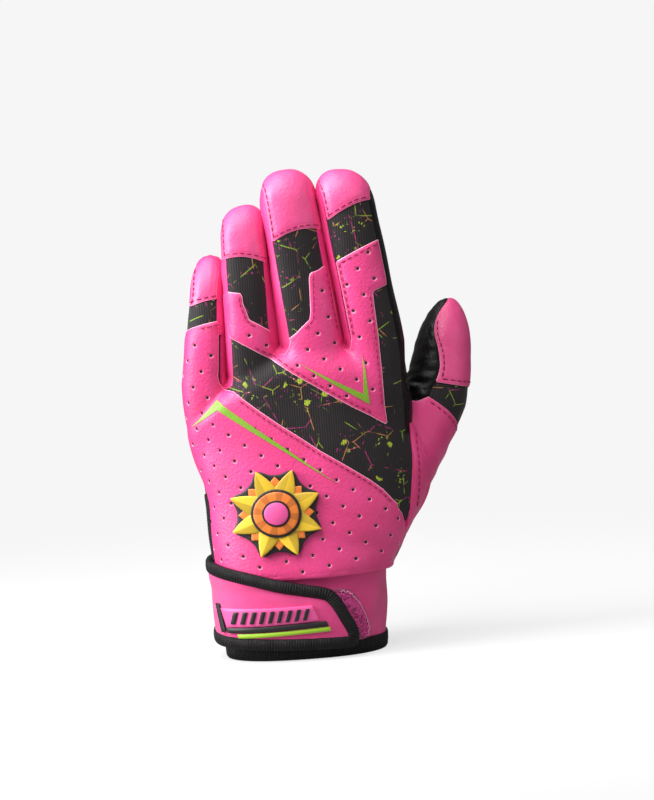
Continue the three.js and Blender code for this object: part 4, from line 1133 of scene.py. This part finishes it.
for pair in crotches:
    strip = sideStrip(pair[0] + pair[1].capitalize() + "Fourchette", basePath(pair), "sideLeather", **baseForm)
    dress(strip, "smooth_leather", "hand", pair[1] + "_" + pair[0] + "_fourchette")
for finger in fingerForms:
    path = tipPath(finger)
    if finger == "index":
        path = path[:indexForm["pinkTo"]]
    elif finger == "little":  # the wrapped band takes this strip's place below the tip seam
        path = path[np.searchsorted(path[:30, 1], fingerCross("little", "tip")[0, 1] + 1.2):]
    strip = sideStrip(finger + "TipFourchette", path, "sideLeather", finger, **stripChanges.get(finger, {}))
    dress(strip, "smooth_leather", finger + "_tip", finger + "_tip_fourchette", span=hingeSpan(finger))
path = tipPath("index")[indexForm["blackFrom"]:]
strip = sideStrip("indexTipSide", path, "palmLeather", "index", low=indexForm["low"], lift=.42)
dress(strip, "palm_leather", "index_tip", span=hingeSpan("index"))
along = np.linspace(hinge("index") - stripForm["lap"], 6, 14)
handSide = np.concatenate([fingerPlane("index", fingerHalf("index", along) - stripForm["inset"]["index"], along),
                           [(47.6, 130), (47.6, 118), (47.4, 108), (47.2, 100), (47, 95)]])
strip = sideStrip("handSide", curveThrough(handSide, 80), "palmLeather", low=indexForm["low"], lift=.4)
dress(strip, "palm_leather", "hand")
print("stage: side strips")

# palm: one panel to just below each flex line, and a front for each finger tip
palmForm = {"step": .8, "lift": .85, "round": .35, "puff": .3, "groove": 0, "thick": 1.3}
palmCut = {"share": .8, "under": 8.6, "root": 4, "cap": .86}  # by half width, flex line, root and dome


def palmSide(name, side, low, high, count=14):
    # palm seam of a finger, nearer its edge than the dorsal one
    along = np.linspace(low, high, count)
    return fingerPlane(name, side * palmCut["share"] * fingerHalf(name, along), along)


palmTop = {name: hinge(name) - palmCut["under"] for name in fingerForms}
palmHeights = np.linspace(lowerForm["foot"] - .4, fingerPlane("little", -8.0, palmTop["little"])[1], 60)


def palmFinger(name):
    # palm's outline up one side of a finger and down the other
    return [palmSide(name, -1, palmCut["root"], palmTop[name]), palmSide(name, 1, palmTop[name], palmCut["root"])]


def crotchPalm(pair):
    # palm's hem below a crotch
    x, z = crotches[pair]
    return np.array([(x - 2.2, z + .2), (x, z - 1.6), (x + 2.2, z + .2)])


palmThumb = [(49.6, 126), (49.6, 112), (52.0, 105), (57, 101), (60.5, 94), (61, 84), (59, 76), (57, 72.5)]
palmThumb += [(fanAt("thumbCore", z) + wrapForm["thumbTurn"] * turn, z) for turn, z in
              ((.2, 66.5), (.85, 63.0), (.95, 59.0), (1.05, 54.0), (1.22, 48.0), (1.35, 42.0), (1.38, 36.0))]
palmOutline = np.concatenate([
    ulnarPath(palmHeights, 1.62, 1.3, (86, 104)), palmSide("little", 1, palmTop["little"], 5),
    crotchPalm(("little", "ring")), *palmFinger("ring"), crotchPalm(("ring", "middle")), *palmFinger("middle"),
    crotchPalm(("middle", "index")), *palmFinger("index"), curveThrough(palmThumb, 60)])


def thumbLap(u, v):
    # the palm's thumb edge lies over the thumb's own leather
    return .5 * easeStep(49, 55, u) * (1 - easeStep(98, 106, v))


dress(sewnPanel("palmPanel", palmOutline, wrapped(1, gloveField), "palmLeather", relief=thumbLap, **palmForm),
      "palm_leather", "hand", "palm_panel")
for finger, form in fingerForms.items():
    top, low, turn = domeFoot(finger), palmTop[finger], np.linspace(0, np.pi, 29)[1:-1]
    cap = fingerPlane(finger, palmCut["share"] * fingerHalf(finger, top) * np.cos(turn),
                      top + palmCut["cap"] * form["dome"] * np.sin(turn))
    outline = np.concatenate([palmSide(finger, -1, top, low), palmSide(finger, 1, low, top), cap])
    front = sewnPanel(finger + "TipFront", outline, onPalm, "palmLeather", **palmForm)
    dress(front, "palm_leather", finger + "_tip", finger + "_tip_front", span=hingeSpan(finger))
print("stage: palm")

# thumb: tube pieces by angle from its back and length along it, the dome unrolled
thumbDomeStart = thumbLength - thumbForm["dome"]
thumbTopV = thumbDomeStart + thumbForm["dome"] * np.pi / 2
thumbSpan = [tuple(toFrame(thumbFrame(np.array([at]) / thumbLength)[0][0])) for at in thumbForm["flex"]]


def onThumb(u, v):
    # thumb tube with the dome's length taken as an arc, so that its end closes round
    over = np.clip((v - thumbDomeStart) / thumbForm["dome"], 0, np.pi / 2 - .01)
    return thumbSurface(u, np.where(v > thumbDomeStart, thumbDomeStart + thumbForm["dome"] * np.sin(over), v))


def onThumbRoot(u, v):
    # rays from the thumb's axis to the webbed glove, no more than a few millimetres over the tube
    (middle, back, across), angle = thumbFrame(v / thumbLength)[:3], u / thumbForm["radius"]
    ray = back * np.cos(angle)[:, None] + across * np.sin(angle)[:, None]
    tube = np.linalg.norm(thumbPoint(angle, v) - middle, axis=1)
    drop = dropOn(gloveField, middle, ray, rayForm["root"], rayForm["rootSteps"])
    p = middle + ray * np.minimum(np.linalg.norm(drop - middle, axis=1), tube + thumbForm["web"])[:, None]
    return p, fieldNormal(gloveField, p)


tipSeamLine = curveThrough([(-19.5, 70.5), (-9, 71.5), (0, 73), (10, 72), (19.5, 71)], 24)
bandSeamLine = curveThrough([(-21, 63), (-12, 60.5), (0, 57), (10, 58), (19.5, 60)], 24)
rootSeam = curveThrough([(-21, 63), (-25, 58), (-30, 54.5), (-33, 52)], 12)[1:]
frontSeam = curveThrough([(-19.5, 70.5), (-19, 78), (-20.5, 86), (-24.5, 96), (-25, 104), (-22, 114),
                          (-21, thumbTopV)], 40)
farSeam = np.stack([np.full(30, 19.5), np.linspace(thumbTopV, 71, 30)], -1)
dress(sewnPanel("thumbTipPanel", np.concatenate([frontSeam, farSeam, tipSeamLine[::-1][1:-1]]), onThumb, "tipLeather",
                relief=leatherSlack, **tipSettings), "smooth_leather", "thumb_tip", "thumb_tip_panel")
tipStitch = [shifted(tipSeamLine, 1.7)[1:-1], shifted(frontSeam, -1.6)[2:24]]
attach(stitching("thumbTipStitch", tipStitch, onThumb, 1.15, "thread"), "thumb_tip")
band = sewnPanel("thumbStretch", np.concatenate([bandSeamLine - (0, 2), tipSeamLine[::-1] + (0, 2)]), onThumb,
                 "stretch", sewnTo=["thumb_tip_panel", "thumb_back_panel"], **{**clothForm, "lift": .05})
dress(band, "stretch_print", "thumb_tip", "thumb_stretch_band", span=thumbSpan)


def thumbFolds(u, v):
    # slack leather at the thumb's base: slanted folds that fade away from the bend
    return .3 * np.sin((v + .35 * u) / 2.1) * np.exp(-((v - 46) / 11) ** 2)


backSeam = np.concatenate([bandSeamLine[::-1], rootSeam,
                           [(-29, 42), (-25, 30), (-20, 18), (-16, 8), (-13, 2), (14, 1), (17, 14), (19, 34)]])
dress(sewnPanel("thumbBackPanel", backSeam, onThumbRoot, "sideLeather", relief=thumbFolds, puff=.15, lift=.6),
      "smooth_leather", "hand", "thumb_back_panel")
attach(stitching("thumbBackStitch", [shifted(bandSeamLine, -1.8)[1:-1]], onThumbRoot, .72, "thread"), "hand")


def thumbCrinkles(u, v):
    # crushed leather inside the bend: crossing ripples, strongest at the flex line, and a raised far edge
    wave = np.sin(v / 1.25 + 1.1 * np.sin(u / 4)) + .6 * np.sin(v / .8 - u / 2.6)
    lap = .55 * (1 - easeStep(24, 32, u)) * (1 - easeStep(58, 66, v))
    return .33 * wave * easeStep(20, 30, u) * (.25 + np.exp(-((v - 66) / 9) ** 2)) + lap


around = 2 * np.pi * thumbForm["radius"]
frontOutline = np.concatenate([frontSeam[::-1] + (around, 0), [(around - 21, 63)], rootSeam + (around, 0),
                               [(around - 44, 40), (18.5, 34)], farSeam[::-1] - (1, 0)])
front = sewnPanel("thumbFront", frontOutline, onThumb, "palmLeather", relief=thumbCrinkles,
                  step=.7, lift=.5, round=.3, puff=.35, groove=0, thick=1.1)
dress(front, "palm_leather", "thumb_tip", "thumb_front_panel", "thumb_tip_front", span=thumbSpan)
gussetOuter = np.array([(49.2, 52.6), (55.0, 58.4), (59.8, 66.0), (62.2, 74.0), (61.8, 82.0), (59.8, 88.8),
                        (57.5, 94.8), (55.6, 99.2)]) - photoShift
gussetInner = stretchRight[6:-1] - (np.array([.8, 2, 2.2, 2.2, 2, 1.6])[:, None] * (1, 0))
gusset = sewnPanel("thumbGusset", np.concatenate([curveThrough(gussetOuter, 30), gussetInner]), onGlove,
                   "sideLeather", puff=.6, step=.6, lift=1.5, thick=2.0, foldBelow=999)
dress(gusset, "smooth_leather", "hand", "thumb_gusset")
gussetSeam = shifted(curveThrough(gussetInner[::-1], 40), -1.8)[5:-4]
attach(stitching("gussetStitch", [gussetSeam], onGlove, 1.78, "thread"), "hand")
print("stage: thumb")

# cuff, hem and vent
cuffForm = {"lift": -1.9, "wall": 2.0, "low": 5.5, "high": 40, "rows": 15}
heights = np.linspace(cuffForm["low"], cuffForm["high"], cuffForm["rows"])
cuffProfile = np.concatenate([np.insert(heights[:, None], 0, cuffForm["lift"], 1),
                              np.insert(heights[::-1, None], 0, cuffForm["lift"] - cuffForm["wall"], 1)])


def cuffSlack(angle, height):
    # slack of the knit: a slow wave round the wrist that fades to the hem
    return .45 * np.sin(5 * angle + height / 9) * np.sin(height / 13) + .2 * np.sin(11 * angle - height / 6)


dress(ringed("cuffBand", cuffProfile, "knit", relief=cuffSlack), "neoprene", "hand", "cuff_band")
hemProfile = [(-1.25, 7), (-1.0, 6.2), (-.9, 3.6), (-1.0, 1.1), (-1.5, .25), (-2.6, 0), (-3.8, .25), (-4.2, 1.1),
              (-4.3, 3.6), (-4.2, 6.2), (-3.9, 7), (-2.6, 7.2)]
dress(ringed("hemBinding", hemProfile, "binding", {"count": 180, "deep": .3}, turns=1620),
      "ribbed_binding", "hand", "hem_binding")
tape = np.linspace(0, 2 * np.pi, 13)[:-1]
tapeProfile = np.stack([signedPower(np.cos(tape), .7), signedPower(np.sin(tape), .7)], -1)
ventHeights = np.array([37.0, 45.0, 55.0, 64.0, 69.0])
ventLine = np.concatenate([ulnarPath(ventHeights, 1.2, 1.2), [(ulnarEdge(72.0, 1.4, 1.4), 72.4)],
                           ulnarPath(ventHeights[::-1], 1.6, 1.6)])
vent = carried("ventBinding", evenly(curveThrough(ventLine, 200), .3), onWrap, tapeProfile * (1.7, 1.2) + (0, .5),
               "binding", {"pitch": 1.2, "deep": .25})
dress(vent, "ribbed_binding", "hand", "vent_binding")
print("stage: cuff, hem and vent")

# wrist strap: body, ribbed binding, raised plate and rails
strapForm = {"lift": 2.5, "thick": 1.9, "puff": .5, "groove": 0}
rootU = -88.0  # sewn end of the strap, round on the palm's side


def onStrap(u, v):
    # wrist skin, stood off where the strap climbs over the panel's foot
    skin, normals = wristSurface(u, v)
    return skin + normals * (.9 * easeStep(31, 37, v))[:, None], normals


def onStrapPlane(points):
    # strap outline given in drawing x and z, as length round the wrist and height
    points = np.asarray(points, float)
    return np.stack([wristU(points[:, 0]), points[:, 1]], -1)


strapTop = np.array([(-36.2, 43.6), (-30.7, 42.1), (-19.8, 39.5), (-6.9, 35.9), (6.1, 33.1), (12.2, 31.7),
                     (15.6, 30.1), (18.8, 26.3), (22.7, 19.4), (25.8, 13.4), (26.6, 9.8), (25.9, 6.6),
                     (23.3, 5.0), (19.4, 5.0), (-0.4, 5.6), (-33.4, 7.2)]) - photoShift
strapLine = np.concatenate([[(rootU, 44.5), (rootU + 14, 44.5)], onStrapPlane(strapTop),
                            [(rootU + 14, 9.5), (rootU, 9.5)]])
strapEdge = evenly(curveThrough(strapLine, 500), .3)
dress(sewnPanel("strapBody", evenly(shifted(strapEdge, -1.2), 2), onStrap, "knit", **strapForm),
      "neoprene", "strap", "strap_body")
edging = carried("strapBinding", shifted(strapEdge, -2.2), onStrap, tapeProfile * (2.8, 1.75) + (0, 2.0), "binding",
                 {"pitch": 1.15, "deep": .3})
dress(edging, "ribbed_binding", "strap", "strap_binding")
padForm = {"thick": 1.9, "round": .3, "puff": 0, "groove": 0, "step": .45}


def pad(name, outline, surface, finish, slot, body, *nodes, **changes):
    # a flat moulded or woven piece on the strap or cuff, its outline in drawing x and z
    dress(sewnPanel(name, onStrapPlane(outline), surface, finish, **{**padForm, **changes}), slot, body, *nodes)


raised = {
    "strapPlate": ("rubberPink", "rubber_pink", "strap_plate", 4.1,
                   [(-36, 24.6), (3.6, 24.9), (6.4, 18), (-34, 16.2)]),
    "strapDarkRail": ("rubberBlack", "rubber_black", "strap_dark_rail", 4.3,
                      [(-34.4, 15.8), (9.6, 17.6), (10.4, 15.4), (-33.6, 13.6)]),
    "strapLimeRail": ("rubberLime", "rubber_lime", "strap_lime_rail", 4.0,
                      [(-30, 13.2), (11, 15), (11.6, 13), (-29.4, 11.4)]),
}
for name, (finish, slot, node, lift, outline) in raised.items():
    pad(name, outline, onStrap, finish, slot, "strap", node, lift=lift, round=.4, step=.5)
barForm = {"count": 9, "start": -31.8, "pitch": 3.85, "wide": 1.75, "lean": 1.5, "low": 17.9, "high": 23.3}
for bar in range(barForm["count"]):
    x, low, high = barForm["start"] + bar * barForm["pitch"], barForm["low"] + .1 * bar, barForm["high"] + .04 * bar
    lean, wide = x + barForm["lean"], barForm["wide"]
    pad(f"plateBar{bar}", [(x, low), (x + wide, low), (lean + wide, high), (lean, high)], onStrap, "rubberBlack",
        "rubber_black", "strap", lift=4.9, thick=1.2)
pad("strapDarkEdge", [(-37.8, 26.4), (-36.4, 26.2), (-34.6, 14.4), (-36.2, 13.4)], onStrap, "rubberBlack",
    "rubber_black", "strap", lift=4.2)
pad("strapHookPatch", [(-4, 27), (9, 27), (14, 22), (18, 10), (-4, 10)], wristSurface, "binding",
    "hook_loop", "strap", "strap_hook_patch", lift=.9, thick=1.2, round=.2, step=1)
zigzag = curveThrough([(17, 29.2), (21.2, 27.6), (25.4, 22.4), (28.5, 15.6), (29.6, 11), (28.7, 8.2)], 60)
zigzag = evenly(onStrapPlane(zigzag), 1.15)
zigzag = zigzag + (shifted(zigzag, 1.3) - zigzag) * (np.arange(len(zigzag)) % 2)[:, None]
beads = stitching("loopStitch", [zigzag], wristSurface, .05, "threadPale", pitch=1.7, long=1.75, wide=.22)
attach(beads, "hand")
fuzzForm = {"count": 1300, "long": 1.5, "heights": [7, 11, 16, 23, 29], "ends": [29.4, 30.6, 29.4, 26.2, 21]}
chance = np.random.default_rng(4)
rise = chance.uniform(8, 28.6, fuzzForm["count"])
spots = chance.uniform(1, np.interp(rise, fuzzForm["heights"], fuzzForm["ends"]))
spots = onStrapPlane(np.stack([spots, rise], -1))
heading = chance.uniform(0, np.pi, fuzzForm["count"])
heading = fuzzForm["long"] / 2 * np.stack([np.cos(heading), np.sin(heading)], -1)
fuzz = stitching("loopFuzz", np.stack([spots - heading, spots + heading], 1), wristSurface, -.35, "loopThread",
                 pitch=fuzzForm["long"], long=fuzzForm["long"], wide=.16, high=.5)
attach(fuzz, "hand")
loopLine = curveThrough([(0, 29), (14, 30.6), (21.6, 29.4), (26.6, 23.4), (29.8, 16.2), (31.2, 11.2), (30, 7.2),
                         (20, 7), (0, 7.4)], 60)


def loopNap(u, v):
    # brushed loops: fine crossing ripples
    return .16 * np.sin(u / .34) * np.sin(v / .29 + u) + .1 * np.sin(u * 5.3 + v * 7.1)


pad("cuffLoopPatch", loopLine, wristSurface, "loop", "hook_loop", "hand", "cuff_loop_patch",
    lift=-.6, thick=1.4, round=.4, puff=.1, step=.4, relief=loopNap)
anchor = sewnPanel("strapAnchor", [(rootU - 6, 44), (rootU + 3, 44), (rootU + 3, 10), (rootU - 6, 10)], wristSurface,
                   "knit", lift=1.4, thick=2.6, step=1)
dress(anchor, "neoprene", "hand", "strap_anchor")
print("stage: strap")

# sunburst badge on the lower panel: black base, yellow rays, orange teeth and disc, pink core
badgeForm = {"x": -8.7, "z": 65.3, "turns": 256, "rays": 8, "rings": 12, "border": 1.7, "soft": 11, "sharp": 30}


def rayPhase(turn):
    # share of the way from one ray's foot to the next
    return (turn * badgeForm["rays"] / (2 * np.pi)) % 1


def rayShare(turn):
    # one on the middle line of a ray, nought between two rays
    return 1 - np.abs(rayPhase(turn) - .5) * 2


def halfRay(turn):
    # the half of each ray that lies past its middle line
    return (rayPhase(turn) > .5) * 1.0


def rayRim(turn):
    # rim of the rays: a power of the ray's share
    return 11.6 + 8.6 * rayShare(turn) ** 1.25


def toothRim(turn):
    # rim of the teeth, half a ray further on
    return 11.5 + 4.6 * rayShare(turn + np.pi / badgeForm["rays"]) ** 1.3


def baseRim(turn):
    # the furthest of rays and teeth, with a border, softened over a few degrees
    reach, soft = np.maximum(rayRim(turn), toothRim(turn)) + badgeForm["border"], badgeForm["soft"]
    window = np.hanning(2 * soft + 1)
    return np.convolve(np.concatenate([reach[-soft:], reach, reach[:soft]]), window / window.sum(), "valid")


def disc(radius):
    # rim at one radius all round
    return lambda turn: radius + 0 * turn


def badgeLayer(name, rim, low, high, finish, slot, *nodes, ridge=0.0, dome=0.0, shade=None):
    # polar pad: its rim follows a radius by angle, its top rises to ridges and a dome and rounds off at the rim
    turns, rings = badgeForm["turns"], badgeForm["rings"]
    turn = np.linspace(0, 2 * np.pi, turns, endpoint=False)
    share = np.concatenate([np.linspace(.02, .94, rings), [.97, .992, 1.0, 1.0]])[:, None]
    lift = np.concatenate([np.full(rings, high), [high - .06, high - .22, high - .5, low]])[:, None]
    lift = lift + (ridge * (rayShare(turn) - .35) * share + dome * (1 - share ** 2)) * (lift > low)
    reach = share * rim(turn)
    u, v = badgeForm["x"] + reach * np.cos(turn), badgeForm["z"] + reach * np.sin(turn)
    skin, normals = onBack(u.ravel(), v.ravel())
    points = skin + normals * lift.reshape(-1, 1)
    cells = outward(points, normals, gridCells(len(share), turns, closeColumns=True))
    cap, last = list(range(turns)), [(len(share) - 1) * turns + k for k in range(turns)]
    flip = cells[0][0] != 0
    faces = cells.tolist() + [cap if flip else cap[::-1], last[::-1] if flip else last]
    values = {"shade": np.tile(shade(turn), len(share))} if shade else None
    uv = np.stack([u.ravel(), v.ravel()], -1)
    dress(addMesh(name, points, faces, finish, uv, values, badgeForm["sharp"]), slot, "hand", *nodes)


badgeLayer("badgeBase", baseRim, .6, 3.3, "rubberBlack", "rubber_black", "badge_base")
badgeLayer("badgeTeeth", toothRim, 3.0, 3.8, "rubberOrange", "rubber_orange")
badgeLayer("badgeRays", rayRim, 3.0, 4.3, "rubberYellow", "rubber_yellow", "badge_rays", ridge=.9, shade=halfRay)
badgeLayer("badgeRing", disc(10.6), 3.8, 5.2, "rubberBlack", "rubber_black")
badgeLayer("badgeDisc", disc(9.5), 4.8, 5.7, "rubberOrange", "rubber_orange", "badge_disc", dome=.5, shade=halfRay)
badgeLayer("badgeInnerRing", disc(5.9), 5.4, 6.3, "rubberBlack", "rubber_black")
badgeLayer("badgeCore", disc(5.0), 6.0, 6.7, "rubberPink", "rubber_pink", "badge_core", dome=.8)
print("stage: badge")

# two tapered chevrons of lime film on the leather, measured on the photo
filmForm = {"rows": 7, "step": .7, "thick": .35}


def film(name, outer, inner, surface, lift):
    # sheet ruled between two bent edges that meet at both ends
    outer, inner = np.array(outer), np.array(inner)
    counts = (np.linalg.norm(np.diff(outer, axis=0), axis=1) / filmForm["step"]).astype(int) + 2
    edges = [np.concatenate([np.linspace(a, b, count) for a, b, count in zip(line, line[1:], counts)])[:, None]
             for line in (outer, inner)]
    share = np.linspace(0, 1, filmForm["rows"])[None, :, None]
    flat = (edges[0] * (1 - share) + edges[1] * share).reshape(-1, 2) - photoShift
    if surface is onWrap:
        flat[:, 0] = wrapU(*flat.T)
    skin, normals = surface(*flat.T)
    cells = outward(skin, normals, gridCells(len(edges[0]), filmForm["rows"]))
    shell, faces = closedShell(skin + normals * lift, skin + normals * (lift - filmForm["thick"]), cells)
    values = {"edge": np.full(2 * len(flat), uncut)}
    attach(addMesh(name, shell, faces, "limeFilm", np.concatenate([flat, flat]), values), "hand")


film("lowerChevron", [(-40.4, 104.2), (-28.4, 115.2), (21.0, 76.5)], [(-40.4, 104.2), (-28.6, 111.4), (21.0, 76.5)],
     onWrap, 1.66)
film("upperChevron", [(8.4, 129.5), (37.5, 109.8), (36.4, 131.7)], [(8.4, 129.5), (35.1, 114.6), (36.4, 131.7)],
     onBack, 1.42)
print("stage: chevrons")

# floor, backdrop, light and camera
stageForm = {"aim": (-.0006, -.015, .113), "distance": 1.5, "elevation": 6, "roll": 4.1, "view": .352, "sensor": 24,
             "floor": 8, "near": .16, "far": .5}


def grey(value):
    # opaque grey of a value
    return (value,) * 3 + (1,)


tones = {"backdrop": grey(.922), "floorGlow": grey(.7), "floorTone": grey(.22), "floorLight": grey(.12),
         "world": grey(.22)}
floorPaint = Paint(bpy.data.materials.new("floor"), Roughness=.9, Specular_IOR_Level=.0, Emission_Strength=1.0)
away = floorPaint.node("ShaderNodeVectorMath", {"operation": "LENGTH"}, {0: floorPaint.place("Object")}, 1)
far = floorPaint.ease(away, stageForm["near"], stageForm["far"])
seen = floorPaint.node("ShaderNodeLightPath", {}, {}, "Is Camera Ray")
glow = floorPaint.mix(far, tones["floorGlow"], tones["backdrop"])
floorPaint.feed(Base_Color=floorPaint.mix(far, tones["floorTone"], grey(0)),
                Emission_Color=floorPaint.mix(seen, tones["floorLight"], glow))
mesh, half = bpy.data.meshes.new("floor"), stageForm["floor"]
mesh.from_pydata([(-half, -half, 0), (half, -half, 0), (half, half, 0), (-half, half, 0)], [], [(0, 1, 2, 3)])
mesh.materials.append(floorPaint.owner)
floor = bpy.data.objects.new("floor", mesh)
bpy.context.collection.objects.link(floor)
sky = Paint(bpy.data.worlds.new("studio"), "Background")
seen = sky.node("ShaderNodeLightPath", {}, {}, "Is Camera Ray")
bpy.context.scene.world = sky.feed(Color=sky.mix(seen, tones["world"], tones["backdrop"]))


def aimed(place):
    # rotation that looks from a place at the aim
    return (Vector(stageForm["aim"]) - Vector(place)).to_track_quat("-Z", "Y")


lamps = {"key": ((-1.22, -.3, .68), 23, (.6, .9)), "over": ((-.2, -.24, .58), 3.9, (.5, .4)),
         "strip": ((-.8, -.1, .2), 3, (.1, .8)), "fill": ((1.05, -.95, .3), 3.2, (.9, .9)),
         "top": ((-.25, .15, 1.3), 4, (.7, .7))}
for name, (place, power, size) in lamps.items():
    lamp = bpy.data.lights.new(name, "AREA")
    lamp.shape, lamp.energy, (lamp.size, lamp.size_y) = "RECTANGLE", power, size
    holder = bpy.data.objects.new(name, lamp)
    holder.location, holder.rotation_euler = place, aimed(place).to_euler()
    bpy.context.collection.objects.link(holder)
camera = bpy.data.cameras.new("camera")
camera.sensor_fit, camera.sensor_height = "VERTICAL", stageForm["sensor"]
camera.lens = stageForm["sensor"] * stageForm["distance"] / stageForm["view"]
eye = bpy.data.objects.new("camera", camera)
tilt = np.radians(stageForm["elevation"])
eye.location = Vector(stageForm["aim"]) + stageForm["distance"] * Vector((0, -np.cos(tilt), np.sin(tilt)))
roll = Matrix.Rotation(np.radians(-stageForm["roll"]), 3, "Z")
eye.rotation_euler = (aimed(eye.location).to_matrix() @ roll).to_euler()
bpy.context.collection.objects.link(eye)
bpy.context.scene.camera = eye
bpy.context.scene.view_settings.view_transform = "Standard"
print("stage: light and camera")
